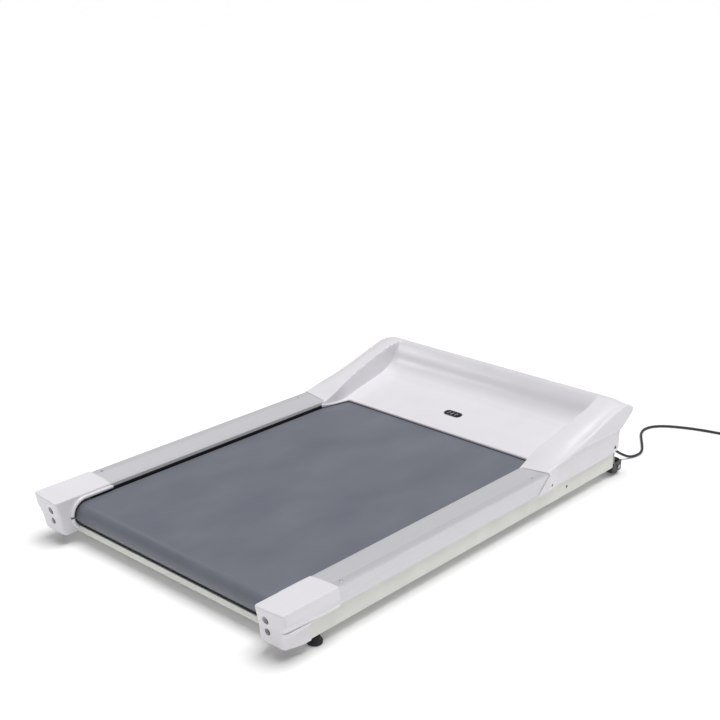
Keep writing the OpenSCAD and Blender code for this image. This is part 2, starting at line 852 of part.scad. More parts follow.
module breaker_body() {
    color("dimgray")
        difference() {
            union() {
                bar_y(17, tray_y1 - 25, tray_y1 - 3, breaker_x, panel_z);
                bar_y(12, tray_y1 - 3, tray_y1, breaker_x, panel_z);
                bar_y(16, tray_y1, tray_y1 + 3, breaker_x, panel_z);
            }
            bar_y(button_d + 2 * RUN_GAP, tray_y1 - 17, tray_y1 + 4, breaker_x, panel_z);
        }
}

module breaker_button() {
    color("white")
        bar_y(button_d, tray_y1 - 13.5, tray_y1 + 3 + button_travel + 1.5, breaker_x, panel_z);
}

module cord_gland() {
    color("black") {
        bar_y(22, tray_y1 - 9, tray_y1 - 3, gland_x, panel_z);
        bar_y(16, tray_y1 - 3, tray_y1, gland_x, panel_z);
        bar_y(22, tray_y1, tray_y1 + 3, gland_x, panel_z);
        bar_y(15, tray_y1 + 3, tray_y1 + 3 + gland_taper, gland_x, panel_z, cord_d + 2);
    }
}

// ---- mains cord ----

// A point on the smooth curve through p1 and p2, at t from 0 to 1; p0 and p3 are their neighbours
function curve_point(p0, p1, p2, p3, t) =
    0.5 * (2 * p1 + (p2 - p0) * t + (2 * p0 - 5 * p1 + 4 * p2 - p3) * t * t
           + (3 * p1 - p0 - 3 * p2 + p3) * t * t * t);

// The smooth curve through a route, with CORD_STEPS points for each of its stretches
function smooth_route(route) = let (last = len(route) - 1) [
    for (i = [0 : last - 1], k = [0 : CORD_STEPS - 1])
        curve_point(route[max(i - 1, 0)], route[i], route[i + 1], route[min(i + 2, last)],
                    k / CORD_STEPS),
    route[last]];

// One ring of points round a place on the curve, square to the direction of travel
function ring(at, along) =
    let (side = unit(cross(along, [0, 0, 1])), up = cross(side, along))
        [for (k = [0 : CORD_SIDES - 1])
            let (turn = 360 * (k + 0.5) / CORD_SIDES)
                at + (side * cos(turn) + up * sin(turn)) * cord_d / 2];

module swept_cord(route) {
    path = smooth_route(route);
    count = len(path);
    points = [
        for (i = [0 : count - 1])
            each ring(path[i], unit(path[min(i + 1, count - 1)] - path[max(i - 1, 0)]))];
    walls = [
        for (i = [0 : count - 2], k = [0 : CORD_SIDES - 1])
            let (next = (k + 1) % CORD_SIDES)
                [i * CORD_SIDES + k, i * CORD_SIDES + next,
                 (i + 1) * CORD_SIDES + next, (i + 1) * CORD_SIDES + k]];
    first = [for (k = [0 : CORD_SIDES - 1]) CORD_SIDES - 1 - k];
    end = [for (k = [0 : CORD_SIDES - 1]) (count - 1) * CORD_SIDES + k];
    polyhedron(points = points, faces = concat([first], walls, [end]), convexity = 6);
}

module power_cord() {
    color("black")
        swept_cord(CORD_ROUTE);
}

module cord_tail() {
    color("black")
        swept_cord(TAIL_ROUTE);
}

// Outer shape of the wound storage coil
module cord_coil() {
    color("black")
        translate([coil_at[0], coil_at[1], tie_t])
            rotate_extrude()
                translate([coil_mean_r - coil_turns_wide * cord_d / 2, 0])
                    square([coil_turns_wide * cord_d, coil_turns_high * cord_d]);
}

module cord_tie() {
    wide = coil_turns_wide * cord_d / 2 + SEAT_GAP;
    high = coil_turns_high * cord_d + 2 * SEAT_GAP;
    color("dimgray")
        translate([coil_at[0], coil_at[1], 0])
            rotate([0, 0, tie_angle])
                difference() {
                    span_box([coil_mean_r - wide - tie_t, -5, 0],
                             [coil_mean_r + wide + tie_t, 5, high + 2 * tie_t]);
                    span_box([coil_mean_r - wide - 0.6, -6, tie_t - SEAT_GAP],
                             [coil_mean_r + wide + 0.6, 6, high + tie_t]);
                }
}

// Moulded plug with a tapered neck and three pins
module cord_plug() {
    tail_end = TAIL_ROUTE[len(TAIL_ROUTE) - 1];
    x = tail_end[0];
    z = tail_end[2];
    neck_y = tail_end[1];
    body_y = neck_y + 22;
    color("black") {
        bar_y(cord_d + 1, neck_y, body_y, x, z, 17);
        span_box([x - plug_w / 2, body_y, 0.5], [x + plug_w / 2, body_y + plug_l, plug_h + 0.5]);
    }
    color("gold") {
        for (side = [-1, 1])
            span_box([x + side * 6.35 - 0.8, body_y + plug_l, z - 5],
                     [x + side * 6.35 + 0.8, body_y + plug_l + 17, z + 1.4]);
        bar_y(4.8, body_y + plug_l, body_y + plug_l + 19, x, z - 9);
    }
}

// ---- hood ----

// Side outline of the hood: skirt, front, ridge, and the line down along the arms
hood_outline = [
    [arm_y - 50, shell_base_z], [y_front - 93, shell_base_z], [y_front - 63, shell_base_z + 14],
    [y_front - 63, shell_top_z + 20], [y_front - 12, hood_height - 53], [y_front, hood_height - 39],
    [y_front - 8, hood_height - 24], [y_front - 42, hood_height - 3], [y_front - 62, hood_height],
    [y_front - 95, hood_height - 6], [arm_y, shell_top_z]];

// Side outline of the open space above the dish
dish_outline = [
    [lip_y, lip_z], [crease_y, lip_z + dish_rise], [y_front - 140, lip_z + dish_rise + 12],
    [y_front - 106, hood_height - 47], [y_front - 86, hood_height - 15],
    [y_front - 80, hood_height + 20], [lip_y - 60, hood_height + 20], [lip_y - 60, lip_z]];

// Front outline of the same space; its sides lean out upwards
dish_half = rail_in - 45;
dish_flare = 0.715;
dish_front_outline = [
    [-dish_half, lip_z], [dish_half, lip_z],
    [dish_half + dish_flare * (hood_height + 30 - lip_z), hood_height + 30],
    [-dish_half - dish_flare * (hood_height + 30 - lip_z), hood_height + 30]];

// Plan outline of the opening that the belt runs into, between the arms
arm_in = rail_in - 3;
mouth_outline = [
    [-arm_in, arm_y - 150], [arm_in, arm_y - 150], [arm_in, arm_y - 7], [rail_in - 31, lip_y],
    [31 - rail_in, lip_y], [-arm_in, arm_y - 7]];

// The open space above the belt and the dish, moved out by extra on every side
module dish_space(extra) {
    intersection() {
        extrude_x(-rail_out, rail_out)
            polygon(grown(dish_outline, extra));
        extrude_y(lip_y - 90, y_front)
            polygon(grown(dish_front_outline, extra));
    }
    linear_extrude(hood_height + 40)
        polygon(grown(mouth_outline, extra));
}

// The room inside the shell, open below and, round the rails, at the rear
module hood_room() {
    inner = grown(hood_outline, -shell_wall);
    wall_y = inner[3][0];
    difference() {
        extrude_x(-shell_in, shell_in)
            polygon([
                [arm_y - 100, 0], [wall_y, 0], inner[3], inner[4], inner[5], inner[6], inner[7],
                inner[8], inner[9], inner[10], [arm_y - 100, inner[10][1]]]);
        dish_space(shell_wall);
    }
    span_box([-shell_in, arm_y - 100, 0], [shell_in, lip_y + shell_wall, walk_height + 4]);
}

module hood() {
    color("white")
        difference() {
            extrude_x(-shell_out, shell_out)
                polygon(hood_outline);
            dish_space(0);
            hood_room();
            both_sides()
                for (at = hood_screw_at)
                    bar_x(case_screw_d + 2 * SCREW_GAP, shell_in - 1, shell_out + 1, at[0], at[1]);
        }
}

module hood_badge() {
    lean = atan2(dish_rise, crease_y - lip_y);
    along = 97;
    color("black")
        translate([0, lip_y + along * cos(lean), lip_z + along * sin(lean)])
            rotate([lean, 0, 0])
                linear_extrude(1.2) {
                    square([badge_l - badge_w, badge_w], center = true);
                    for (side = [-1, 1])
                        translate([side * (badge_l - badge_w) / 2, 0])
                            circle(d = badge_w);
                }
}

// Screws of the hood's sides and of the rear caps
module case_screws() {
    color("dimgray")
        both_sides() {
            for (at = hood_screw_at) {
                bar_x(case_screw_d, tube_out + 1, shell_out, at[0], at[1]);
                bar_x(case_screw_head_d, shell_out, shell_out + 1.6, at[0], at[1]);
            }
            bar_y(case_screw_d, tube_y0 - plate - 2.5, tube_y0 + 6, adjuster_x, cap_screw_z);
            bar_y(case_screw_head_d, tube_y0 - plate - 5, tube_y0 - plate - 2.5, adjuster_x, cap_screw_z);
        }
}

// ---- rear caps ----

// Side outline of a cap's wide upper part
function cap_upper(end_y) = [
    [y_rear + 1, shell_base_z], [end_y, shell_base_z], [end_y, shell_top_z],
    [y_rear + 7, shell_top_z], [y_rear, shell_top_z - 7]];

// Side outline of its narrower lower part, which hides the tube's end
function cap_lower(end_y, top_z) = [
    [y_rear + 19, frame_clearance + 6], [y_rear + 28, frame_clearance], [end_y, frame_clearance],
    [end_y, top_z], [y_rear + 1, top_z], [y_rear + 1, shell_base_z]];

module rear_cap(side) {
    low_end = y_rear + 95;
    rim_r = roll_r + 8.2;
    color("white")
        on_side(side)
            difference() {
                union() {
                    difference() {
                        union() {
                            extrude_x(cap_in, shell_out)
                                polygon(cap_upper(cap_end_y));
                            extrude_x(cap_in, cap_low_out)
                                polygon(cap_lower(low_end, shell_base_z + 1));
                        }
                        extrude_x(cap_in + shell_wall, shell_in)
                            polygon(grown(cap_upper(cap_end_y + 2 * shell_wall), -shell_wall));
                        extrude_x(cap_in + shell_wall, cap_low_out - shell_wall)
                            polygon(grown(cap_lower(cap_end_y + 2 * shell_wall,
                                                    shell_base_z + 4 * shell_wall), -shell_wall));
                        span_box([cap_in + shell_wall, tube_y0 - plate - 0.5, 0],
                                 [cap_low_out - shell_wall, low_end + 1, frame_clearance + 8]);
                    }
                    bar_y(18, y_rear + 1.5, tube_y0 - plate, adjuster_x, cap_screw_z);
                }
                extrude_x(cap_in - 1, cap_in + shell_wall + 1) {
                    translate([rear_roll_y, roll_z])
                        circle(r = rim_r);
                    polygon([[rear_roll_y - rim_r + 6, 0], [cap_end_y + 5, 0],
                             [cap_end_y + 5, roll_z + rim_r], [rear_roll_y, roll_z + rim_r],
                             [rear_roll_y, roll_z], [rear_roll_y - rim_r + 6, roll_z]]);
                }
                bar_y(14, y_rear - 1, tube_y0 - plate - 2.5, adjuster_x, cap_screw_z);
                bar_y(case_screw_d + 2 * SCREW_GAP, tube_y0 - plate - 3, tube_y0, adjuster_x, cap_screw_z);
                bar_y(15.5, y_rear - 1, y_rear + 14, adjuster_x, adjuster_z);
            }
}

// ---- wheels and feet ----

module wheel_brackets() {
    color("gainsboro")
        both_sides()
            difference() {
                union() {
                    span_box([tube_in, tube_y1, 12], [tube_out, tube_y1 + plate, tube_top - 4]);
                    for (x = [tube_in, tube_out - 3.5])
                        span_box([x, tube_y1, 12], [x + 3.5, wheel_y + 14, wheel_d - 6]);
                }
                bar_x(wheel_axle_d + 2 * SEAT_GAP, tube_in - 1, tube_out + 1, wheel_y, wheel_d / 2);
            }
}

module wheel(side) {
    color("black")
        on_side(side)
            difference() {
                bar_x(wheel_d, tube_mid - wheel_w / 2, tube_mid + wheel_w / 2, wheel_y, wheel_d / 2);
                for (x = [tube_mid - wheel_w / 2 - 1, tube_mid + wheel_w / 2 - 4])
                    difference() {
                        bar_x(wheel_d - 14, x, x + 5, wheel_y, wheel_d / 2);
                        bar_x(16, x - 1, x + 6, wheel_y, wheel_d / 2);
                    }
                bar_x(wheel_axle_d + 2 * RUN_GAP, tube_mid - wheel_w, tube_mid + wheel_w, wheel_y, wheel_d / 2);
            }
}

module wheel_axles() {
    color("silver")
        both_sides() {
            bar_x(wheel_axle_d, tube_in, tube_out, wheel_y, wheel_d / 2);
            for (x = [tube_in - 2.5, tube_out])
                bar_x(13, x, x + 2.5, wheel_y, wheel_d / 2);
        }
}

// Rubber pad, threaded stud and the lock nut that the stud carries below the tube
module level_foot(side) {
    color("black")
        on_side(side) {
            bar_z(foot_pad_d, 0, 9, tube_mid, foot_y);
            bar_z(foot_pad_d, 9, 20, tube_mid, foot_y, foot_pad_d - 14);
            bar_z(foot_stud_d, 19, frame_clearance + 40, tube_mid, foot_y);
            translate([tube_mid, foot_y, 20])
                cylinder(d = 1.7 * foot_stud_d / cos(30), h = foot_nut_h, $fn = 6);
        }
}

// ---- draw ----

frame_side("left");  // frame_side_left
frame_side("right");  // frame_side_right
frame_rear_angle();
cross_tube(cross_y[0]);  // cross_tube_rear
cross_tube(cross_y[1]);  // cross_tube_mid
cross_tube(cross_y[2]);  // cross_tube_front
motor_tray();
deck_board();
deck_cushions();
deck_screws();
rail("left");  // rail_left
rail("right");  // rail_right
edge_strips();
rail_screws();
walking_belt();
drum(rear_roll_y);  // rear_drum
drum_bearings(rear_roll_y);  // rear_bearings
roller_axle(rear_roll_y);  // rear_axle
take_up_blocks();
adjuster_bolts();
drum(front_roll_y);  // front_drum
drum_bearings(front_roll_y);  // front_bearings
roller_axle(front_roll_y);  // front_axle
front_axle_blocks();
driven_pulley();
drive_belt();
motor_can();
motor_magnets();
motor_bells();
motor_bearings();
motor_rotor();
flywheel();
motor_pulley();
motor_saddle();
motor_bolts();
controller_board();
heat_sink();
choke();
wire_harness();
switch_body();
switch_rocker();
breaker_body();
breaker_button();
cord_gland();
power_cord();
cord_coil();
cord_tail();
cord_plug();
cord_tie();
hood();
hood_badge();
case_screws();
rear_cap("left");  // rear_cap_left
rear_cap("right");  // rear_cap_right
wheel_brackets();
wheel("left");  // wheel_left
wheel("right");  // wheel_right
wheel_axles();
level_foot("left");  // foot_left
level_foot("right");  // foot_right
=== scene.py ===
"""Looks for a flat walking treadmill: moulded hood and caps, aluminium rails, woven belt, mains lead.

Every length in this file is in millimetres unless its name ends in _m. X runs across the belt, Y towards
the motor hood and Z up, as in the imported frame."""

import math

import bmesh
import bpy
import numpy as np
from mathutils import Matrix, Vector


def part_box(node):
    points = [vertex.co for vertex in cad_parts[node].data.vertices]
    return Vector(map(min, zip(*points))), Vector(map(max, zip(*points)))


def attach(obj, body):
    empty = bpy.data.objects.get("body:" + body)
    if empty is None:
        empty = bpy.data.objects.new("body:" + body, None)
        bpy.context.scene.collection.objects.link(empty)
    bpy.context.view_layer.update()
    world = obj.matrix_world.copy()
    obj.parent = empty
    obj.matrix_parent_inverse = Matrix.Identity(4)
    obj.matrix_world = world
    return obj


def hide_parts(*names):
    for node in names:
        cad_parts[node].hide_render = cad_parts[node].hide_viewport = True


bl_info = {
    "name": "Walking treadmill",
    "version": (1, 0, 0),
    "blender": (4, 5, 0),
    "location": "3D View > Sidebar > Treadmill",
    "description": "Builds the shown surfaces, materials and studio of a flat walking treadmill",
    "category": "Object",
}

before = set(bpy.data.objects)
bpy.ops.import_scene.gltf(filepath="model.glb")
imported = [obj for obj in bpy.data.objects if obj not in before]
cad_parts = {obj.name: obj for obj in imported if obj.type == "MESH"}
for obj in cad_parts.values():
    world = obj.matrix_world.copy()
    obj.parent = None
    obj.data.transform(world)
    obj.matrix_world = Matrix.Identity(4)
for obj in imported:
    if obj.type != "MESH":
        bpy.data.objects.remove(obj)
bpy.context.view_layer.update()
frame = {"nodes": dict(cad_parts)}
MM = 0.001
BOTH = (("left", -1), ("right", 1))
HOOD_SCREWS = [(316, 93), (652, 101)]
# the rear caps on the right: walls and top, and the two holes in the rear face
CAP_IN, CAP_OUT, CAP_REAR, CAP_FRONT, CAP_TOP = 380.0, 476, -735, -554.0, 138.0
CAP_HOLE_X = 412
CAP_SCREW_Z, CAP_HOLE_R = 100, 10.5
ADJUSTER_Z, ADJUSTER_HOLE_R = 68.2, 9.0
# the hood's top meets its folded front at this seam, and its sides end at the hem
SEAM_Y, SEAM_Z, HEM_Z = 673, 239, 82
ACCESSORY_Y, ACCESSORY_Z = 408, 56
GLAND_X, GLAND_Z = 392, 56
PLUG_PINS_Y = 1331.3


def low(node):
    """A node's lowest corner in millimetres."""
    return np.array(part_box(node)[0]) / MM


def high(node):
    """A node's highest corner in millimetres."""
    return np.array(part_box(node)[1]) / MM


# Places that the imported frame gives
RAIL_OUT = high("rail_right")[0]
RAIL_IN = low("rail_right")[0]
RAIL_TOP = high("rail_right")[2]
RAIL_Y = (low("rail_right")[1], high("rail_right")[1])
SHELL_OUT = high("hood")[0]
WALK_Z = high("walking_belt")[2]
BELT_HALF = high("walking_belt")[0]
REAR_ROLL_Y = (high("rear_drum")[1] + low("rear_drum")[1]) / 2
FRONT_ROLL_Y = (high("front_drum")[1] + low("front_drum")[1]) / 2
ROLL_Z = (high("rear_drum")[2] + low("rear_drum")[2]) / 2
BELT_R = WALK_Z - ROLL_Z
TUBE_OUT = high("wheel_brackets")[0]
TUBE_IN = TUBE_OUT - 40
TUBE_MID = (TUBE_IN + TUBE_OUT) / 2


# ---- sizes and colours ----


def length(name, description, default, least, most):
    """A length in metres that the sidebar can change."""
    return bpy.props.FloatProperty(name=name, description=description, default=default, min=least,
                                   max=most, unit="LENGTH")


def hex_colour(name, description, default):
    """A colour as an sRGB hex value."""
    return bpy.props.StringProperty(name=name, description=description, default=default)


class TreadmillSizes(bpy.types.PropertyGroup):
    """Sizes of the shown surfaces that the frame leaves open."""

    weave_pitch: length("Weave pitch", "Distance between two ribs of the weave", 0.005, 0.001, 0.02)
    rib_pitch: length("Rail rib pitch", "Distance between two ribs on a rail's top", 0.0042, 0.001, 0.01)
    rib_depth: length("Rail rib depth", "Depth of the grooves between the ribs", 0.0005, 0.0, 0.001)
    shell_wall: length("Shell wall", "Wall thickness of the hood and caps", 0.0025, 0.001, 0.004)
    shoulder_radius: length("Hood shoulder radius", "Rounding between top and sides", 0.011, 0.003, 0.014)
    cord_diameter: length("Cord diameter", "Outside diameter of the mains lead", 0.008, 0.006, 0.01)


class TreadmillColours(bpy.types.PropertyGroup):
    """Colours of the finishes, as sRGB hex values."""

    shell: hex_colour("Shell", "Moulded hood and caps", "#EFEDF2")
    belt: hex_colour("Belt", "Ribs of the belt's woven top", "#787C86")
    # colour of the weave's grooves, darker than the ribs: painted shade in the hollows
    belt_groove_shade: hex_colour("Belt grooves", "Grooves of the belt's woven top", "#5C606B")
    rail: hex_colour("Rail", "Anodised aluminium", "#E4E4E8")
    frame: hex_colour("Frame", "Powder-coated steel", "#F0F0EA")
    rubber: hex_colour("Rubber", "Feet, wheels, strips and drive belt", "#1B1B1D")
    cord: hex_colour("Cord", "Mains lead and plug", "#2A2A30")
    badge: hex_colour("Badge", "Ground of the badge", "#0E0E10")
    floor: hex_colour("Floor", "Studio floor", "#FAFAFA")


def sizes():
    return bpy.context.scene.treadmill_sizes


def colours():
    return bpy.context.scene.treadmill_colours


# ---- shapes ----


def curve_through(knots, at):
    """Cubic Hermite curve through knots (position, value...), each tangent the slope between its
    neighbours; read at the positions `at`."""
    knots = np.asarray(knots, float)
    t, v = knots[:, 0], knots[:, 1:]
    slope = np.gradient(v, t, axis=0)
    at = np.clip(np.asarray(at, float), t[0], t[-1])
    i = np.clip(np.searchsorted(t, at, side="right") - 1, 0, len(t) - 2)
    h = (t[i + 1] - t[i])[..., None]
    u = (at - t[i])[..., None] / h
    value = ((1 + 2 * u) * (1 - u) ** 2 * v[i] + u * (1 - u) ** 2 * h * slope[i]
             + u ** 2 * (3 - 2 * u) * v[i + 1] + u ** 2 * (u - 1) * h * slope[i + 1])
    return value[..., 0] if value.shape[-1] == 1 else value


def along_length(points):
    """Points with their distance along the polyline put first, as knots for curve_through."""
    points = np.asarray(points, float)
    step = np.linalg.norm(np.diff(points, axis=0), axis=1)
    return np.column_stack([np.concatenate([[0], np.cumsum(step)]), points])


def ease(t):
    """Smooth step from 0 to 1: 3t^2 - 2t^3."""
    t = np.clip(t, 0, 1)
    return t * t * (3 - 2 * t)


def soft_min(a, b, r):
    """The lower of a and b, with a rounded inside corner about r deep."""
    h = np.clip(0.5 + 0.5 * (b - a) / r, 0, 1)
    return b * (1 - h) + a * h - r * h * (1 - h)


def soft_max(a, b, r):
    """The higher of a and b, rounded in the same way."""
    return -soft_min(-np.asarray(a), -np.asarray(b), r)


def rounded(corners, radius, steps=6):
    """Outline with an arc at each corner: the arc turns from one edge's normal to the next about a
    centre on the corner's bisector. radius is one number, or one for each corner."""
    p = np.asarray(corners, float)
    r = np.broadcast_to(np.asarray(radius, float), len(p))[:, None]
    a = np.roll(p, 1, 0) - p
    b = np.roll(p, -1, 0) - p
    a /= np.linalg.norm(a, axis=1)[:, None]
    b /= np.linalg.norm(b, axis=1)[:, None]
    half = np.arccos(np.clip((a * b).sum(1), -1, 1))[:, None] / 2
    mid = (a + b) / np.maximum(np.linalg.norm(a + b, axis=1), 1e-9)[:, None]
    centre = p + mid * r / np.sin(half)
    start, end = p + a * r / np.tan(half) - centre, p + b * r / np.tan(half) - centre
    turn = np.maximum(math.pi - 2 * half, 1e-6)[:, :, None]
    t = np.linspace(0, 1, steps)[None, :, None]
    arc = (np.sin((1 - t) * turn) * start[:, None] + np.sin(t * turn) * end[:, None]) / np.sin(turn)
    return (centre[:, None] + arc).reshape(-1, 2)


def left_of(ahead):
    """Unit normals to the left of flat directions: each turned by a quarter."""
    normal = np.column_stack([-ahead[:, 1], ahead[:, 0]])
    return normal / np.maximum(np.linalg.norm(normal, axis=1), 1e-9)[:, None]


def inset(outline, distance):
    """A closed outline moved inwards by distance along the normal at each point."""
    normal = left_of(np.roll(outline, -1, 0) - np.roll(outline, 1, 0))
    area = (outline[:, 0] * np.roll(outline[:, 1], -1) - outline[:, 1] * np.roll(outline[:, 0], -1)).sum()
    return outline + normal * distance * (1 if area > 0 else -1)


def grid(points, close_rows=False, close_columns=False):
    """Quads between neighbouring rows and columns of an array of points, rows by columns by 3."""
    n, m = points.shape[:2]
    i = np.arange(n if close_rows else n - 1)[:, None]
    j = np.arange(m if close_columns else m - 1)[None, :]
    i1, j1 = (i + 1) % n, (j + 1) % m
    quads = np.stack([i * m + j, i * m + j1, i1 * m + j1, i1 * m + j], -1).reshape(-1, 4)
    return points.reshape(-1, 3), quads.tolist()


def placed(outline, axis, place):
    """A plan outline set square to an axis at a place: (y, z) on x, (x, z) on y, (x, y) on z."""
    flat = np.empty((len(outline), 3))
    others = {"x": (1, 2), "y": (0, 2), "z": (0, 1)}[axis]
    flat[:, others[0]], flat[:, others[1]] = outline[:, 0], outline[:, 1]
    flat[:, "xyz".index(axis)] = place
    return flat


def prism(outline, axis, start, end, edge=0.0):
    """An outline carried straight along an axis. Its ends are rounded: at an angle a round the edge the
    outline is inset by edge(1 - sin a) and stands edge(1 - cos a) in from the end."""
    turn = np.linspace(0, math.pi / 2, 5) if edge else np.array([math.pi / 2])
    inward, depth = edge * (1 - np.sin(turn)), edge * (1 - np.cos(turn))
    stations = list(zip(start + depth, inward)) + list(zip(end - depth[::-1], inward[::-1]))
    rows = np.array([placed(inset(outline, d), axis, s) for s, d in stations])
    points, faces = grid(rows, close_columns=True)
    count, last = len(outline), len(points)
    return points, faces + [list(range(count)), list(range(last - count, last))]


def lathe(profile, axis, centre, turns=48):
    """A profile of (place along the axis, radius) turned once about the axis through centre. Ends at
    radius 0 close on the axis."""
    profile = np.asarray(profile, float)
    angle = np.linspace(0, 2 * math.pi, turns, endpoint=False)
    along, radius = profile[:, 0][:, None], profile[:, 1][:, None]
    ring = np.stack([along + 0 * angle, radius * np.cos(angle), radius * np.sin(angle)], -1)
    order = {"x": (0, 1, 2), "y": (1, 0, 2), "z": (1, 2, 0)}[axis]
    return grid(ring[..., order] + np.asarray(centre, float), close_columns=True)


def tube_along(path, radius, sides=14):
    """A circle of a given radius, one number or one for each point, carried along a path. Each ring
    stands square to the path, and its ends close in a flat cap."""
    path = np.asarray(path, float)
    ahead = np.gradient(path, axis=0)
    ahead /= np.linalg.norm(ahead, axis=1)[:, None]
    side = np.cross(ahead, [0, 0, 1])
    side /= np.maximum(np.linalg.norm(side, axis=1), 1e-9)[:, None]
    up = np.cross(side, ahead)
    angle = np.linspace(0, 2 * math.pi, sides, endpoint=False)[None, :, None]
    r = np.broadcast_to(np.asarray(radius, float), len(path))[:, None, None]
    rows = path[:, None] + r * (side[:, None] * np.cos(angle) + up[:, None] * np.sin(angle))
    points, faces = grid(rows, close_columns=True)
    last = len(points)
    return points, faces + [list(range(sides)), list(range(last - sides, last))]


def mirrored(part, side):
    """A part as it is on the right, or its mirror image on the left."""
    points, faces = part
    return points * [side, 1, 1], faces


def hexagon(radius, x, y):
    """Corners of a hexagon about a place."""
    return [(x + radius * math.cos(a), y + radius * math.sin(a)) for a in np.radians(np.arange(0, 360, 60))]


def weld(mesh, within_m, facing=None):
    """Merges a mesh's doubles and turns its faces outwards, or an open skin's faces towards `facing`."""
    work = bmesh.new()
    work.from_mesh(mesh)
    bmesh.ops.remove_doubles(work, verts=work.verts, dist=within_m)
    bmesh.ops.recalc_face_normals(work, faces=work.faces)
    if facing is not None and sum(f.normal.dot(Vector(facing)) * f.calc_area() for f in work.faces) < 0:
        bmesh.ops.reverse_faces(work, faces=work.faces)
    work.to_mesh(mesh)
    work.free()


def piece(name, body, material, parts, stands_for=(), facing=None, sharp=32, wall=0.0, uv=None):
    """Joins parts, each (points, faces) in millimetres, into one mesh on a body. Doubles are merged and
    faces turned outwards; an open skin is turned to face `facing` and may get a wall inwards."""
    points, faces, first = [], [], 0
    for p, f in parts:
        points.append(p)
        faces += [[v + first for v in face] for face in f]
        first += len(p)
    mesh = bpy.data.meshes.new(name)
    mesh.from_pydata(np.concatenate(points) * MM, [], faces)
    if uv is not None:
        layer = mesh.uv_layers.new(name="laid_flat")
        index = np.empty(len(mesh.loops), int)
        mesh.loops.foreach_get("vertex_index", index)
        layer.data.foreach_set("uv", (uv[index] * MM).astype(np.float32).ravel())
    weld(mesh, 2e-6, facing)
    mesh.shade_smooth()
    mesh.set_sharp_from_angle(angle=math.radians(sharp))
    obj = bpy.data.objects.new(name, mesh)
    bpy.context.scene.collection.objects.link(obj)
    mesh.materials.append(material)
    if wall:
        solid = obj.modifiers.new("wall", "SOLIDIFY")
        solid.thickness, solid.offset, solid.use_even_offset = wall * MM, -1, False
        settle(obj)
    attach(obj, body)
    if stands_for:
        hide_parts(*stands_for)
    return obj


def settle(obj):
    """Turns an object's modifiers into mesh."""
    made = bpy.data.meshes.new_from_object(obj.evaluated_get(bpy.context.evaluated_depsgraph_get()))
    obj.modifiers.clear()
    obj.data = made


def pierce(obj, cutters):
    """Cuts closed parts out of an object."""
    for part in cutters:
        mesh = bpy.data.meshes.new("cutter")
        mesh.from_pydata(part[0] * MM, [], part[1])
        weld(mesh, 1e-6)
        tool = bpy.data.objects.new("cutter", mesh)
        bpy.context.scene.collection.objects.link(tool)
        cut = obj.modifiers.new("hole", "BOOLEAN")
        cut.operation, cut.solver, cut.object = "DIFFERENCE", "EXACT", tool
        settle(obj)
        bpy.data.objects.remove(tool)
        bpy.data.meshes.remove(mesh)
    obj.data.set_sharp_from_angle(angle=math.radians(32))


def rod(axis, radius, start, end, centre):
    """A closed cylinder along an axis between two places."""
    return lathe([(start, 0), (start, radius), (end, radius), (end, 0)], axis, centre, 32)


# ---- finishes ----


def linear(value):
    """An sRGB hex colour as linear red, green, blue and alpha."""
    c = np.array([int(value[i:i + 2], 16) for i in (1, 3, 5)]) / 255
    c = np.where(c <= 0.04045, c / 12.92, ((c + 0.055) / 1.055) ** 2.4)
    return (*c.tolist(), 1.0)


def add_node(tree, kind, settings=None, inputs=None):
    """Adds a node, sets its settings, and sets or links its inputs. A hex value goes in as a colour."""
    node = tree.nodes.new(kind)
    for key, value in (settings or {}).items():
        setattr(node, key, value)
    for key, value in (inputs or {}).items():
        if isinstance(value, bpy.types.NodeSocket):
            tree.links.new(value, node.inputs[key])
        else:
            node.inputs[key].default_value = linear(value) if isinstance(value, str) else value
    return node


def blank(name):
    """An empty material, its tree and its object coordinates in metres."""
    made = bpy.data.materials.new(name)
    made.use_nodes = True
    made.node_tree.nodes.clear()
    place = add_node(made.node_tree, "ShaderNodeTexCoord").outputs["Object"]
    return made, made.node_tree, place


def grain(tree, place, size_mm, detail=2.0):
    """A pattern of soft blotches about size_mm across, one size or one along each axis: the place,
    counted in sizes, read in noise that runs from about 0.3 to 0.7."""
    across = size_mm if isinstance(size_mm, tuple) else (size_mm,) * 3
    at = add_node(tree, "ShaderNodeVectorMath", {"operation": "MULTIPLY"}, {
        0: place, 1: tuple(1 / (size * MM) for size in across)}).outputs[0]
    return add_node(tree, "ShaderNodeTexNoise", {}, {
        "Vector": at, "Scale": 1.0, "Detail": detail, "Roughness": 0.5}).outputs["Fac"]


def tone(tree, pattern, first, second, most, least=0.0, start=0.3, end=0.7):
    """A colour that goes from first towards second as a pattern goes from start to end: `least` of the
    way at its start and `most` of the way at its end."""
    share = add_node(tree, "ShaderNodeMapRange", {}, {
        "Value": pattern, "From Min": start, "From Max": end, "To Min": least, "To Max": most}).outputs[0]
    return add_node(tree, "ShaderNodeMix", {"data_type": "RGBA"}, {
        "Factor": share, 6: first, 7: second}).outputs[2]


def parted(tree, place, axis, at_m, before, after):
    """One colour before a place along an axis, and another past it."""
    where = add_node(tree, "ShaderNodeSeparateXYZ", {}, {"Vector": place}).outputs[axis]
    past = add_node(tree, "ShaderNodeMath", {"operation": "GREATER_THAN"}, {0: where, 1: at_m}).outputs[0]
    return add_node(tree, "ShaderNodeMix", {"data_type": "RGBA"}, {
        "Factor": past, 6: before, 7: after}).outputs[2]


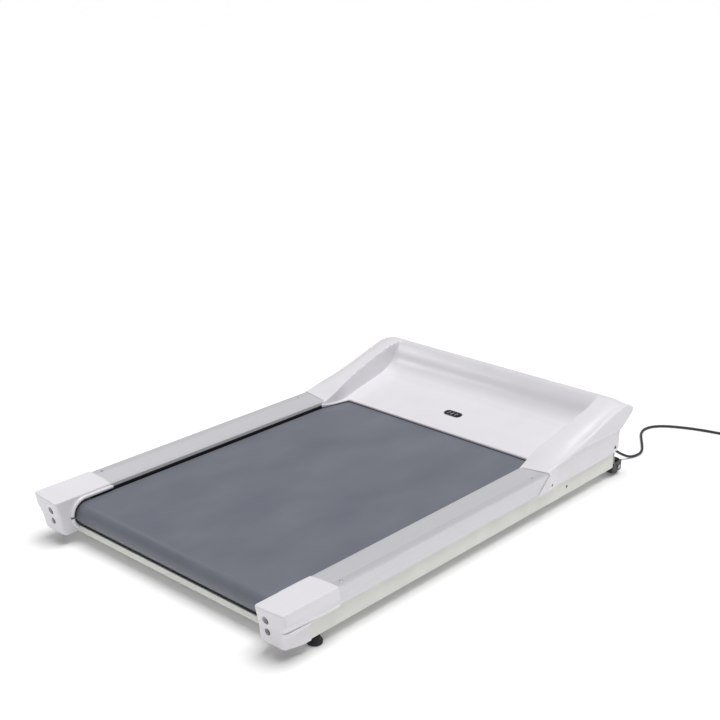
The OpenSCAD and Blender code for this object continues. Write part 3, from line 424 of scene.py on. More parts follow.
def finish(made, colour, rough, bump, depth_mm, strength, **even):
    """Closes a material with its shader. rough is a pattern with the roughness at its low and its high
    end, bump a height from 0 to 1 that is depth_mm deep, and even holds what is the same all over."""
    tree = made.node_tree
    pattern, smooth, coarse = rough
    inputs = {
        "Base Color": colour,
        "Roughness": add_node(tree, "ShaderNodeMapRange", {}, {
            "Value": pattern, "From Min": 0.3, "From Max": 0.7, "To Min": smooth,
            "To Max": coarse}).outputs[0],
        "Normal": add_node(tree, "ShaderNodeBump", {}, {
            "Height": bump, "Strength": strength, "Distance": depth_mm * MM}).outputs[0]}
    inputs.update({key.replace("_", " "): value for key, value in even.items()})
    shader = add_node(tree, "ShaderNodeBsdfPrincipled", {}, inputs)
    add_node(tree, "ShaderNodeOutputMaterial", {}, {"Surface": shader.outputs[0]})
    return made


def grained(name, colour, shade, share, blotch_mm, rough_mm, rough, grain_mm, depth_mm, strength,
            detail=2.0, **even):
    """A finish whose colour goes a share of the way to a shade in wide blotches, whose roughness varies
    in smaller ones, and whose skin has a fine grain."""
    made, tree, place = blank(name)
    tint = tone(tree, grain(tree, place, blotch_mm), colour, shade, share)
    return finish(made, tint, (grain(tree, place, rough_mm), *rough),
                  grain(tree, place, grain_mm, detail), depth_mm, strength, **even)


def moulded_abs(name, colour):
    """Gloss moulded ABS: mirror-like at a glance, with a slow waviness of the mould and faint flow tint."""
    made, tree, place = blank(name)
    tint = tone(tree, grain(tree, place, 90), colour, "#E9E7E9", most=0.5)
    return finish(made, tint, (grain(tree, place, 120, 1.0), 0.19, 0.26), grain(tree, place, 70, 0.0),
                  depth_mm=0.15, strength=0.3, IOR=1.53)


def brushed_anodised_aluminium(name, colour):
    """Anodised extrusion: fine scratches along its length spread the light across it."""
    made, tree, place = blank(name)
    streak = grain(tree, place, (0.55, 160, 0.55), 3.0)
    broad = grain(tree, place, (7, 420, 7), 1.0)
    tint = tone(tree, streak, colour, "#CFCFD3", most=0.7)
    tint = tone(tree, broad, tint, "#DDDDE0", most=0.5)
    return finish(made, tint, (streak, 0.3, 0.44), streak, depth_mm=0.02, strength=0.35, Metallic=0.35)


def woven_belt(name, rib, groove, pitch_mm):
    """PVC belt with a diagonal weave: matt ribs, with grooves painted darker as painted shade in the
    weave's hollows, drawn as coarse as it needs to show, with faint worn bands where feet land."""
    made, tree, _ = blank(name)
    flat = add_node(tree, "ShaderNodeUVMap", {"uv_map": "laid_flat"}).outputs["UV"]

    def ribs(along_x, along_y, pitch):
        """Ribs a pitch apart, square to a direction: the sine of the distance along it, from 0 to 1."""
        turn = 2 * math.pi / (pitch * MM)
        across = add_node(tree, "ShaderNodeVectorMath", {"operation": "DOT_PRODUCT"}, {
            0: flat, 1: (along_x * turn, along_y * turn, 0)}).outputs["Value"]
        wave = add_node(tree, "ShaderNodeMath", {"operation": "SINE"}, {0: across}).outputs[0]
        return add_node(tree, "ShaderNodeMapRange", {}, {"Value": wave, "From Min": -1.0}).outputs[0]

    weave = add_node(tree, "ShaderNodeMath", {"operation": "MULTIPLY_ADD"}, {
        0: ribs(-0.927, 0.375, pitch_mm * 0.6), 1: 0.3, 2: ribs(0.375, 0.927, pitch_mm)}).outputs[0]
    worn = grain(tree, flat, (120, 260, 100))
    # darker where the weave is low: painted shade in the grooves
    tint = tone(tree, weave, groove, rib, most=0.8, least=0.25, start=0, end=1.3)
    tint = tone(tree, worn, tint, "#8A8D94", most=0.25)
    return finish(made, tint, (worn, 0.4, 0.52), weave, depth_mm=0.1, strength=0.2, IOR=1.5)


def powder_coat(name, colour, shade="#D9D9D2"):
    """Satin powder coat on steel: an even coat with a fine orange-peel surface."""
    return grained(name, colour, shade, share=0.4, blotch_mm=60, rough_mm=9, rough=(0.38, 0.5),
                   grain_mm=1.6, depth_mm=0.05, strength=0.5, detail=1.0, IOR=1.5)


def moulded_rubber(name, colour, dusty="#303033"):
    """Moulded rubber: matt black that greys a little where dust sits in its fine grain."""
    return grained(name, colour, dusty, share=0.6, blotch_mm=18, rough_mm=5, rough=(0.55, 0.75),
                   grain_mm=0.9, depth_mm=0.06, strength=0.5, IOR=1.52)


def zinc_plate(name, colour="#B9BBBD"):
    """Zinc-plated steel: grey metal with the soft spangle of the plating."""
    return grained(name, colour, "#9B9DA1", share=1, blotch_mm=7, rough_mm=4, rough=(0.3, 0.45),
                   grain_mm=1.2, depth_mm=0.02, strength=0.4, Metallic=1.0)


def turned_steel(name, colour="#B4B5B8", pitch_mm=0.8):
    """Turned steel: fine rings left by the tool, square to the X axis."""
    made, tree, place = blank(name)
    rings = grain(tree, place, (pitch_mm, 60, 60))
    return finish(made, tone(tree, rings, colour, "#8E9094", most=1), (rings, 0.22, 0.38), rings,
                  depth_mm=0.03, strength=0.5, Metallic=1.0)


def cast_metal(name, colour, shade, grain_mm=1.4, roughness=0.55):
    """Cast metal: a sandy skin that catches light in small points."""
    return grained(name, colour, shade, share=1, blotch_mm=12, rough_mm=3,
                   rough=(roughness - 0.08, roughness + 0.08), grain_mm=grain_mm, depth_mm=0.1,
                   strength=0.6, detail=3.0, Metallic=1.0)


def enamel(name, colour, shade):
    """Baked enamel: dark gloss paint with a slight orange peel."""
    return grained(name, colour, shade, share=1, blotch_mm=30, rough_mm=8, rough=(0.22, 0.34),
                   grain_mm=2.0, depth_mm=0.04, strength=0.4, detail=1.0)


def satin_plastic(name, colour, shade, roughness=0.42):
    """Moulded plastic with a spark-eroded satin grain."""
    return grained(name, colour, shade, share=0.6, blotch_mm=20, rough_mm=4,
                   rough=(roughness - 0.06, roughness + 0.06), grain_mm=0.8, depth_mm=0.03, strength=0.5)


def laminated_board(name):
    """Phenolic-faced board: near-black film over wood whose long grain still prints through."""
    made, tree, place = blank(name)
    wood = grain(tree, place, (3, 90, 3), 3.0)
    return finish(made, tone(tree, wood, "#1E1B19", "#2B2622", most=1), (wood, 0.3, 0.45), wood,
                  depth_mm=0.05, strength=0.5)


def solder_mask(name, top_z):
    """Circuit board: green varnish over copper tracks; whatever stands above the board is dark."""
    made, tree, place = blank(name)
    track_mm = 9
    at = add_node(tree, "ShaderNodeVectorMath", {"operation": "MULTIPLY"}, {
        0: place, 1: (1 / (track_mm * MM),) * 3}).outputs[0]
    tracks = add_node(tree, "ShaderNodeTexBrick", {}, {
        "Vector": at, "Color1": "#14532F", "Color2": "#0F4427", "Mortar": "#2C7A4A", "Scale": 1.0,
        "Mortar Size": 0.06}).outputs["Color"]
    parts = tone(tree, grain(tree, place, 8), "#25272C", "#3A3D44", most=1)
    tint = parted(tree, place, "Z", (top_z + 0.3) * MM, tracks, parts)
    return finish(made, tint, (grain(tree, place, 5), 0.25, 0.4), grain(tree, place, 1.0),
                  depth_mm=0.03, strength=0.4)


def wound_copper(name, core, low_m, high_m):
    """Enamelled copper wire, wound in fine turns, between two places along X; dark iron elsewhere."""
    made, tree, place = blank(name)
    turns = grain(tree, place, (0.9, 40, 40), 1.0)
    wire = tone(tree, turns, "#B4623A", "#8A4526", most=1)
    tint = parted(tree, place, "X", low_m, core, parted(tree, place, "X", high_m, wire, core))
    return finish(made, tint, (turns, 0.3, 0.5), turns, depth_mm=0.1, strength=0.6, Metallic=0.8)


def two_part_plug(name, colour, pins_from_m):
    """Moulded PVC plug whose pins, past a place along Y, are brass."""
    made, tree, place = blank(name)
    body = tone(tree, grain(tree, place, 20), colour, "#3A3A42", most=0.5)
    brass = tone(tree, grain(tree, place, 3), "#C9A75A", "#B08E48", most=1)
    return finish(made, parted(tree, place, "Y", pins_from_m, body, brass),
                  (grain(tree, place, 4), 0.32, 0.45), grain(tree, place, 0.8), depth_mm=0.03,
                  strength=0.4)


def dress(nodes, material):
    """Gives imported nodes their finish; their shapes stay as they are."""
    for node in nodes:
        for held in frame["nodes"][node].material_slots:
            held.material = material


# ---- mains lead ----

# The lead's route from the gland to its coil, down to the floor and along it
LEAD_ROUTE = [
    (392, 700, 56), (393, 724, 54), (397, 747, 46), (405, 769, 33), (416, 790, 18), (427, 812, 7),
    (435, 838, 4), (436, 864, 4), (428, 890, 4), (413, 917, 4), (395, 945, 4), (376, 974, 4),
    (358, 1004, 4), (347, 1036, 4), (348, 1068, 4), (362, 1096, 4), (385, 1118, 4), (418, 1138, 4),
    (458, 1156, 4), (500, 1170, 4), (543, 1181, 4), (580, 1191, 5), (613, 1199, 5.2)]
TAIL_ROUTE = [(648, 1245, 13.2), (648, 1255, 13.2), (648, 1265, 13.2), (648, 1275, 13.2)]
COIL_AT = (600, 1245)
# the coil's outer turn, how far in the inner turn lies, the height of its floor turn and one lift
COIL_OUT, COIL_STEP, COIL_LOW, COIL_LIFT = 48, 8.3, 5.2, 8


def coil_route():
    """Three turns and a fifth from the lead's end to the tail. The radius eases in from the outer turn to
    the inner one, the height then eases up by one thickness of lead, and the radius eases out again, so
    every pass lies beside or on the one before it."""
    first = math.degrees(math.atan2(LEAD_ROUTE[-1][1] - COIL_AT[1], LEAD_ROUTE[-1][0] - COIL_AT[0]))
    total = 3 * 360 - first
    turn = np.append(np.arange(0, total - 1, 7.5), total)
    radius = COIL_OUT - COIL_STEP * (ease((turn - 240) / 120) - ease((turn - 794) / 120))
    height = COIL_LOW + COIL_LIFT * ease((turn - 480) / 120)
    angle = np.radians(first + turn)
    return np.column_stack([COIL_AT[0] + radius * np.cos(angle), COIL_AT[1] + radius * np.sin(angle),
                            height])


def eased(route, steps=4):
    """The smooth curve through a route, with a number of points for each of its stretches."""
    route = np.asarray(route, float)
    knots = np.column_stack([np.arange(len(route)), route])
    return curve_through(knots, np.linspace(0, len(route) - 1, steps * (len(route) - 1) + 1))


def eased_edges(name, node, body, material, round_mm=0.6):
    """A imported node's shape as one merged mesh, with each edge sharper than 30 degrees rounded off."""
    mesh = frame["nodes"][node].data.copy()
    mesh.name = name
    mesh.materials.clear()
    mesh.materials.append(material)
    if mesh.attributes.get("custom_normal"):
        mesh.attributes.remove(mesh.attributes["custom_normal"])
    work = bmesh.new()
    work.from_mesh(mesh)
    bmesh.ops.remove_doubles(work, verts=work.verts, dist=1e-5)
    bmesh.ops.dissolve_limit(work, angle_limit=math.radians(0.5), verts=work.verts, edges=work.edges)
    work.to_mesh(mesh)
    work.free()
    obj = bpy.data.objects.new(name, mesh)
    bpy.context.scene.collection.objects.link(obj)
    edge = obj.modifiers.new("edges", "BEVEL")
    edge.width, edge.segments, edge.limit_method = round_mm * MM, 2, "ANGLE"
    edge.angle_limit = math.radians(30)
    settle(obj)
    obj.data.shade_smooth()
    obj.data.set_sharp_from_angle(angle=math.radians(35))
    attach(obj, body)
    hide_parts(node)
    return obj


def rail_z(x):
    """Height of a rail's sloping top at x."""
    return RAIL_TOP - 7 * (RAIL_OUT - x) / (RAIL_OUT - RAIL_IN)


class BuildLead(bpy.types.Operator):
    """Mains lead: free run, round coil, tail, gland, plug and tie."""

    bl_idname = "treadmill.lead"
    bl_label = "Mains lead"

    def execute(self, context):
        pvc = satin_plastic("flexible_cord_pvc", colours().cord, "#3A3A42", 0.4)
        gland = piece("lead_gland", "frame", pvc, [lathe(
            [(656, 0), (656, 6), (665, 6), (665, 10.2), (666, 11), (667.4, 11), (668, 10.4), (668, 7.5),
             (672, 7.4), (672.5, 6.6), (675, 6.5), (675.5, 7.1), (679, 6.9), (679.5, 6.1), (682, 6),
             (682.5, 6.6), (686, 6.3), (686.5, 5.6), (689, 5.5), (689.5, 6), (693, 5.7), (693.5, 5.2),
             (699.5, 5), (700, 4.6), (700, 0)], "y", (GLAND_X, 0, GLAND_Z))], ["cord_gland"])
        plug = eased_edges("lead_plug", "cord_plug", "frame",
                           two_part_plug("moulded_plug_pvc", colours().cord, PLUG_PINS_Y * MM), 1.6)
        dress(["cord_tie"], satin_plastic("nylon_tie", "#1F1F22", "#34343A", 0.5))
        path = np.vstack([eased(LEAD_ROUTE), coil_route()[1:], eased(TAIL_ROUTE)[1:]])
        lead = piece("mains_lead", "frame", pvc,
                     [tube_along(path, sizes().cord_diameter / MM / 2)],
                     ["power_cord", "cord_coil", "cord_tail"])
        return {"FINISHED"}


class BuildBelt(bpy.types.Operator):
    """Walking belt: a thin band with rounded edges carried round both rollers."""

    bl_idname = "treadmill.belt"
    bl_label = "Walking belt"

    def execute(self, context):
        thick, side, bends = 2.5, 0.9, 25
        flat = np.linspace(0, 1, bends)[:-1]
        turn = np.linspace(0, math.pi, bends)[:-1]
        run = FRONT_ROLL_Y - REAR_ROLL_Y
        # side view of the middle line of the run: bottom to the rear, round, top to the front, round
        along = np.concatenate([FRONT_ROLL_Y - run * flat, 0 * turn + REAR_ROLL_Y,
                                REAR_ROLL_Y + run * flat, 0 * turn + FRONT_ROLL_Y, [FRONT_ROLL_Y]])
        lean = np.concatenate([0 * flat - math.pi / 2, -math.pi / 2 - turn,
                               0 * flat + math.pi / 2, math.pi / 2 - turn, [-math.pi / 2]])
        out_y, out_z = np.cos(lean), np.sin(lean)
        edge = rounded([(-BELT_HALF, 0), (BELT_HALF, 0), (BELT_HALF, -thick), (-BELT_HALF, -thick)],
                       side, 4)
        across = np.linspace(-BELT_HALF + side, BELT_HALF - side, 17)[1:-1]
        section = np.vstack([edge[:4], np.column_stack([across, 0 * across]), edge[4:12],
                             np.column_stack([across[::-1], 0 * across - thick]), edge[12:]])
        radius = BELT_R + section[:, 1]
        rows = np.stack([np.broadcast_to(section[:, 0], (len(along), len(section))),
                         along[:, None] + radius * out_y[:, None],
                         ROLL_Z + radius * out_z[:, None]], -1)
        mid = np.column_stack([along + BELT_R * out_y, ROLL_Z + BELT_R * out_z])
        gone = np.concatenate([[0], np.cumsum(np.linalg.norm(np.diff(mid, axis=0), axis=1))])
        uv = np.stack([rows[..., 0], np.broadcast_to(gone[:, None], rows.shape[:2])], -1)
        piece("belt_band", "frame",
              woven_belt("woven_pvc_belt", colours().belt, colours().belt_groove_shade,
                         sizes().weave_pitch / MM),
              [grid(rows, close_columns=True)], ["walking_belt"], uv=uv.reshape(-1, 2))
        return {"FINISHED"}


class BuildRails(bpy.types.Operator):
    """Foot rails: an extruded profile with a rounded outer edge and fine ribs on its sloping top."""

    bl_idname = "treadmill.rails"
    bl_label = "Foot rails"

    def execute(self, context):
        metal = brushed_anodised_aluminium("brushed_anodised_aluminium", colours().rail)
        pitch, depth = sizes().rib_pitch / MM, sizes().rib_depth / MM
        first, last, plain = 448, 390, 460
        ribs = np.arange(first, last, -pitch / 8)
        groove = depth * (0.5 - 0.5 * np.cos(2 * math.pi * (first - ribs) / pitch))
        wall, skirt, lip = 2.5, low("rail_right")[2], rail_z(RAIL_IN) - 10
        corner = rounded([(RAIL_OUT, RAIL_TOP - 30), (RAIL_OUT, RAIL_TOP), (RAIL_IN, rail_z(RAIL_IN))],
                         3.2, 8)[8:16]
        outline = np.vstack([
            [(RAIL_OUT, skirt)], corner, [(plain, rail_z(plain))],
            np.column_stack([ribs, rail_z(ribs) - groove]),
            [(RAIL_IN + 1.2, rail_z(RAIL_IN + 1.2)), (RAIL_IN + 0.35, rail_z(RAIL_IN) - 0.35),
             (RAIL_IN, rail_z(RAIL_IN) - 1.2), (RAIL_IN, lip), (RAIL_IN + wall, lip),
             (RAIL_IN + wall, rail_z(RAIL_IN) - wall - 0.2)],
            [(RAIL_OUT - wall, RAIL_TOP - wall - 0.4), (RAIL_OUT - wall, skirt)]])
        for word, side in BOTH:
            piece(f"foot_rail_{word}", "frame", metal,
                  [mirrored(prism(outline, "y", *RAIL_Y), side)], [f"rail_{word}"])
        return {"FINISHED"}


def cap_outer(z):
    """x of a rear cap's outer wall at height z on the right, with a step at the parting line."""
    return curve_through([(30, 466), (80.5, 467), (81.4, 467.4), (83, 474.6), (84.5, CAP_OUT),
                          (CAP_TOP, CAP_OUT)], z)


def cap_draft(y, z):
    """How far a cap's outer wall leans in, and its rear wall forwards, at height z: nothing at the top,
    a steady lean to the parting line and more below it. The side's lean fades out towards the rail."""
    below = np.interp(z, [30, 33, 38, 46, 58, 82], [14, 11, 9, 7, 4, 0]) * np.clip((-665 - y) / 70, 0, 1)
    above = np.interp(z, [82, 84.5, CAP_TOP], [0, 8.8, 0]) * np.clip((-575 - y) / 160, 0, 1)
    return below + above, np.interp(z, [30, 33, 38, 46, 58, 82, CAP_TOP], [27, 22, 19, 17, 15, 12, 0])


class BuildCaps(bpy.types.Operator):
    """Rear caps: level sections stacked from the foot of the cap to its rounded top, a rim round the
    roller, and two screw holes in the rear face."""

    bl_idname = "treadmill.caps"
    bl_label = "Rear caps"

    def execute(self, context):
        white = moulded_abs("moulded_white_abs", colours().shell)
        fillet = 4.8
        levels = np.concatenate([[30, 31.5, 34, 38, 44, 52, 62, 72, 79.5, 80.6, 81.2, 82, 83, 84.5, 88],
                                 np.linspace(94, CAP_TOP - fillet, 8)])
        turn = np.linspace(0, math.pi / 2, 8)[1:]
        inward = np.concatenate([0 * levels, fillet * (1 - np.cos(turn))])
        height = np.concatenate([levels, CAP_TOP - fillet + fillet * np.sin(turn)])
        rows = []
        for d, z, x1 in zip(inward, height, cap_outer(np.minimum(height, CAP_TOP - fillet))):
            ends = np.array([(CAP_IN, CAP_FRONT), (x1, CAP_FRONT)])
            corners = rounded([ends[0], (CAP_IN, CAP_REAR), (x1, CAP_REAR), ends[1]],
                              [0.5, 10, 9, 0.5], 9)[9:27]
            side = np.linspace(0, 1, 13)[:-1, None]
            plan = np.vstack([(1 - side) * ends[0] + side * corners[0], corners[:-1],
                              corners[-1] * (1 - side) + side * ends[1], ends[1:]])
            plan = plan + left_of(np.gradient(plan, axis=0)) * d
            rows.append(np.column_stack([plan, 0 * plan[:, 0] + z]))
        rows = np.array(rows)
        half = (CAP_OUT - CAP_IN) / 2
        spine = np.column_stack([0 * rows[-1][:, 0] + CAP_IN + half,
                                 np.maximum(rows[-1][:, 1], CAP_REAR + half), rows[-1][:, 2]])
        fill = np.linspace(0, 1, 9)[1:, None, None]
        rows = np.concatenate([rows, rows[-1] * (1 - fill) + spine * fill])
        # the top falls inwards with the rail, and its front edge bulges a little over it
        part = np.clip((rows[..., 2] - 84) / (CAP_TOP - 84), 0, 1)
        lean_x, lean_y = cap_draft(rows[..., 1], rows[..., 2])
        rows[..., 0] -= lean_x * np.clip((rows[..., 0] - 420) / 50, 0, 1)
        rows[..., 1] += lean_y * np.clip(1 - (rows[..., 1] - CAP_REAR) / 85, 0, 1)
        rows[..., 2] -= part * 7 * (CAP_OUT - rows[..., 0]) / (CAP_OUT - CAP_IN)
        rows[..., 1] += (2.5 * part * (1 - ((rows[..., 0] - CAP_IN - half) / half) ** 2)
                         * ease((rows[..., 1] + 600) / 50))
        skin = grid(rows)
        angle = np.radians(np.arange(90, 283, 8))
        rim_r = 43.4
        rim = np.vstack([[(y, ROLL_Z + rim_r) for y in (-548, -551, -575, -600, -622)],
                         np.column_stack([REAR_ROLL_Y + rim_r * np.cos(angle),
                                          ROLL_Z + rim_r * np.sin(angle)])])
        rim_line = np.column_stack([0 * rim[:, 0] + 376.6, rim])
        swell = np.concatenate([[3.0, 4.8], np.full(len(rim) - 4, 5.2), [4.4, 2.0]])
        for word, side in BOTH:
            cap = piece(f"end_cap_{word}", "frame", white, [mirrored(skin, side)],
                        [f"rear_cap_{word}"], facing=(0, 0, 1), wall=sizes().shell_wall / MM)
            hole_y, hole_r = -641, 41
            mouth = rounded([(hole_y + hole_r * math.cos(a), ROLL_Z + hole_r * math.sin(a))
                             for a in np.radians(np.arange(90, 271, 6))]
                            + [(hole_y, -20), (-500, -20), (-500, ROLL_Z + hole_r)], 0.1, 2)
            under = [(-635, -20), (-500, -20), (-500, 82), (-635, 82)]
            pierce(cap, [mirrored(prism(mouth, "x", 366, 400), side),
                         mirrored(prism(rounded(under, 0.5, 2), "x", 366, 490), side),
                         rod("y", CAP_HOLE_R, -745, -700, (side * CAP_HOLE_X, 0, CAP_SCREW_Z)),
                         rod("y", ADJUSTER_HOLE_R, -745, -700, (side * CAP_HOLE_X, 0, ADJUSTER_Z))])
            wells = [lathe([(mouth_y, r), (floor_y, r), (floor_y, 0), (floor_y + 1.5, 0),
                            (floor_y + 1.5, r + 1.5), (mouth_y, r + 1.5), (mouth_y, r)], "y",
                           (side * CAP_HOLE_X, 0, z), 36)
                     for mouth_y, floor_y, r, z in ((-724, -713, CAP_HOLE_R, CAP_SCREW_Z),
                                                    (-714.5, -702, ADJUSTER_HOLE_R, ADJUSTER_Z))]
            piece(f"cap_wells_{word}", "frame", white, wells)
            piece(f"cap_rim_{word}", "frame", white,
                  [mirrored(tube_along(rim_line, swell), side)])
        return {"FINISHED"}


def hood_height(x, y):
    """Top of the hood: the arms' sloping plane, cut by a dish whose floor curves up to the ridge and
    whose end walls rise from it; soft_min and soft_max round the crests and the feet."""
    x = np.abs(x)
    arm = curve_through([(250, 125), (297, 138), (340, 152), (400, 169.5), (500, 197.5), (600, 223.5),
                         (640, 233), (660, 237.3), (SEAM_Y, SEAM_Z)], y)
    arm = arm - 7 * (SHELL_OUT - x) / 95 * (1 - ease((y - 300) / 90))
    fall = curve_through([(297, 0), (328, 5), (380, 13), (452, 22), (560, 23), (SEAM_Y, 20)], y)
    arm = arm - fall * np.clip((x - 372) / 100, 0, 1) ** 4.5
    floor = curve_through([(270, 118), (374, 118), (440, 129.9), (500, 140.7), (545, 148.8),
                           (560, 151.6), (575, 156), (595, 163.5), (613, 175), (629, 191), (639, 205),
                           (649, 217.5), (660, 228.5), (SEAM_Y, 241)], y)
    foot = curve_through([(270, 379), (283, 377), (298, 374), (320, 370.5), (345, 368), (365, 368.5),
                          (400, 371.5), (430, 374.5), (500, 377.5), (560, 380), (SEAM_Y, 387)], y)
    steep = 2.6 + 1.9 * ease((y - 300) / 90)
    return soft_min(arm, soft_max(floor, floor + (x - foot) * steep, 7), 6)


# plan of the hood's rear edge from the middle to the right, and its folded front from the seam down
HOOD_EDGE = [(0, 374), (120, 374), (240, 374), (330, 374), (345, 373.8), (352, 371), (357, 360),
             (361, 345), (366, 320), (371, 298), (375, 283), (378.5, 273.5), (381, 275), (383, 286),
             (386, 291), (392, 292.6), (400, 293), (440, 295), (466, 296.4)]
HOOD_FRONT = [(SEAM_Y, SEAM_Z), (693, 236), (744, 204), (680, 161), (672, 150), (672, 96), (665, 86),
              (642, HEM_Z)]
HOOD_FRONT_R = [0, 26, 14, 6, 5, 6, 5, 0]
# points for each corner of the front, for the nose down to its tip, and over the shoulder
CORNER_STEPS, NOSE_STEPS, SHOULDER_STEPS = 6, 11, 8


class BuildHood(bpy.types.Operator):
    """Motor hood: a dished top from a lip over the belt to the ridge, a folded front, and side panels."""

    bl_idname = "treadmill.hood"
    bl_label = "Motor hood"

    def execute(self, context):
        white = bpy.data.materials["moulded_white_abs"]
        reach = along_length(HOOD_EDGE)
        knots = np.concatenate([np.linspace(0, 330, 20), np.linspace(335, reach[-1, 0], 90)])
        plan = curve_through(reach, knots)
        plan[:, 0] = np.maximum.accumulate(plan[:, 0]) + np.linspace(0, 0.02, len(plan))
        away = -left_of(np.gradient(plan, axis=0))
        lip = 2.4
        inner = plan - away * lip
        # only columns that go on outwards are kept, so none folds over its neighbour
        kept = np.concatenate([[True], np.diff(np.maximum.accumulate(inner[:, 0])) > 0.03])
        plan, inner, away = plan[kept], inner[kept], away[kept]
        edge_z = hood_height(inner[:, 0], inner[:, 1])
        foot = np.where(plan[:, 0] > 382, rail_z(plan[:, 0]) + 0.5, 112.5)
        foot = np.minimum(foot, edge_z - lip)
        skirt = [np.column_stack([plan, foot])]
        for a in np.linspace(math.pi / 2, 0, 6):
            skirt.append(np.column_stack([inner + away * lip * math.sin(a),
                                          edge_z - lip * (1 - math.cos(a))]))
        t = np.linspace(0, 1, 80)[1:] ** 1.25
        x = np.broadcast_to(inner[:, 0], (len(t), len(inner)))
        y = inner[:, 1] + (SEAM_Y - inner[:, 1]) * t[:, None]
        # over the belt the lip is a bead 1.5 mm high with a 0.9 mm valley 9 mm behind it
        roll = (np.exp(-((y - inner[:, 1]) / 3.5) ** 2) * 1.5
                - np.exp(-((y - inner[:, 1] - 9) / 2.5) ** 2) * 0.9) * (x < 352) * t[:, None] ** 0.02
        top = np.stack([x, y, hood_height(x, y) + roll], -1)
        front = rounded(HOOD_FRONT, HOOD_FRONT_R, CORNER_STEPS)[CORNER_STEPS:1 - CORNER_STEPS]
        # where the arms end lower than the seam, so does the nose, and this fades out towards its tip
        drop = top[-1, :, 2] - SEAM_Z
        fade = 1 - ease((front[:NOSE_STEPS, :1] - SEAM_Y) / 60)
        nose = np.stack(np.broadcast_arrays(inner[:, 0], front[:, :1], front[:, 1:]), -1).copy()
        nose[:NOSE_STEPS, :, 2] += drop * fade
        rows = np.concatenate([np.array(skirt), top, nose])
        # a quarter round carries every row over the shoulder: out by r sin a and in by
        # tight (1 - cos a), where tight falls from r to 3 mm so that the nose doesn't fold on itself
        r = sizes().shoulder_radius / MM
        r = min(r, SHELL_OUT - rows[0, -1, 0])
        last = rows[:, -1, 1:]
        inwards = -left_of(np.gradient(last, axis=0))
        turned = np.arange(len(last)) - (len(last) - len(front))
        tight = np.interp(turned, [-9, 1, 9], [r, 5.0, 3.0])[:, None]
        shoulder = [np.column_stack([0 * last[:, 0] + rows[0, -1, 0] + r * math.sin(a),
                                     last + inwards * tight * (1 - math.cos(a))])
                    for a in np.linspace(0, math.pi / 2, SHOULDER_STEPS + 1)[1:]]
        start = len(skirt) - 1
        rows = np.concatenate([rows, np.stack(shoulder, 1)], 1)
        over = rows[start, -SHOULDER_STEPS:]
        rows[:start, -SHOULDER_STEPS:, 1] = over[:, 1]
        rows[:start, -SHOULDER_STEPS:, 2] = np.minimum(rows[:start, -SHOULDER_STEPS:, 2], over[:, 2])
        # each side panel is a ring of the shoulder's edge, the hem and the rear, drawn in to a spine
        border, hem_steps, rear_y = rows[start:, -1], 60, 249
        hem = np.column_stack([np.full(hem_steps, border[-1, 0]),
                               np.linspace(border[-1, 1], rear_y, hem_steps + 1)[1:],
                               HEM_Z + (border[-1, 2] - HEM_Z) * np.linspace(1, 0, hem_steps) ** 4])
        rear = np.linspace(0, 1, 16)[1:-1, None]
        loop = np.vstack([border, hem, hem[-1] * (1 - rear) + border[0] * rear])
        spine_y = np.clip(loop[:, 1], 305, 655)
        spine_z = curve_through([(305, 108), (400, 118), (500, 136), (600, 162), (655, 182)], spine_y)
        spine = np.column_stack([loop[:, 0], spine_y, spine_z])
        inner_t = np.linspace(0, 1, 14)[:, None, None]
        panel = loop * (1 - inner_t) + spine * inner_t
        # below the fold line the side stands 5.5 mm further in
        for part in (rows, panel):
            fold = curve_through([(240, 134), (300, 138), (328, 141.6), (380, 147.7), (452, 157.6),
                                  (560, 159), (672, 160)], part[..., 1])
            deep = (5.5 * ease((fold - part[..., 2]) / 4) * ease((part[..., 1] - 296) / 60)
                    * ease((part[..., 0] - 430) / 40))
            part[..., 0] -= deep
        halves = [mirrored(part, side) for part in (grid(rows), grid(panel, close_columns=True))
                  for side in (1, -1)]
        hood = piece("hood_shell", "frame", white, halves, ["hood"], facing=(0, 0, 1),
                     sharp=40, wall=sizes().shell_wall / MM)
        pierce(hood, [rod("x", 5.4, side * 462, side * 482, (0, py, pz))
                      for _, side in BOTH for py, pz in HOOD_SCREWS])
        return {"FINISHED"}


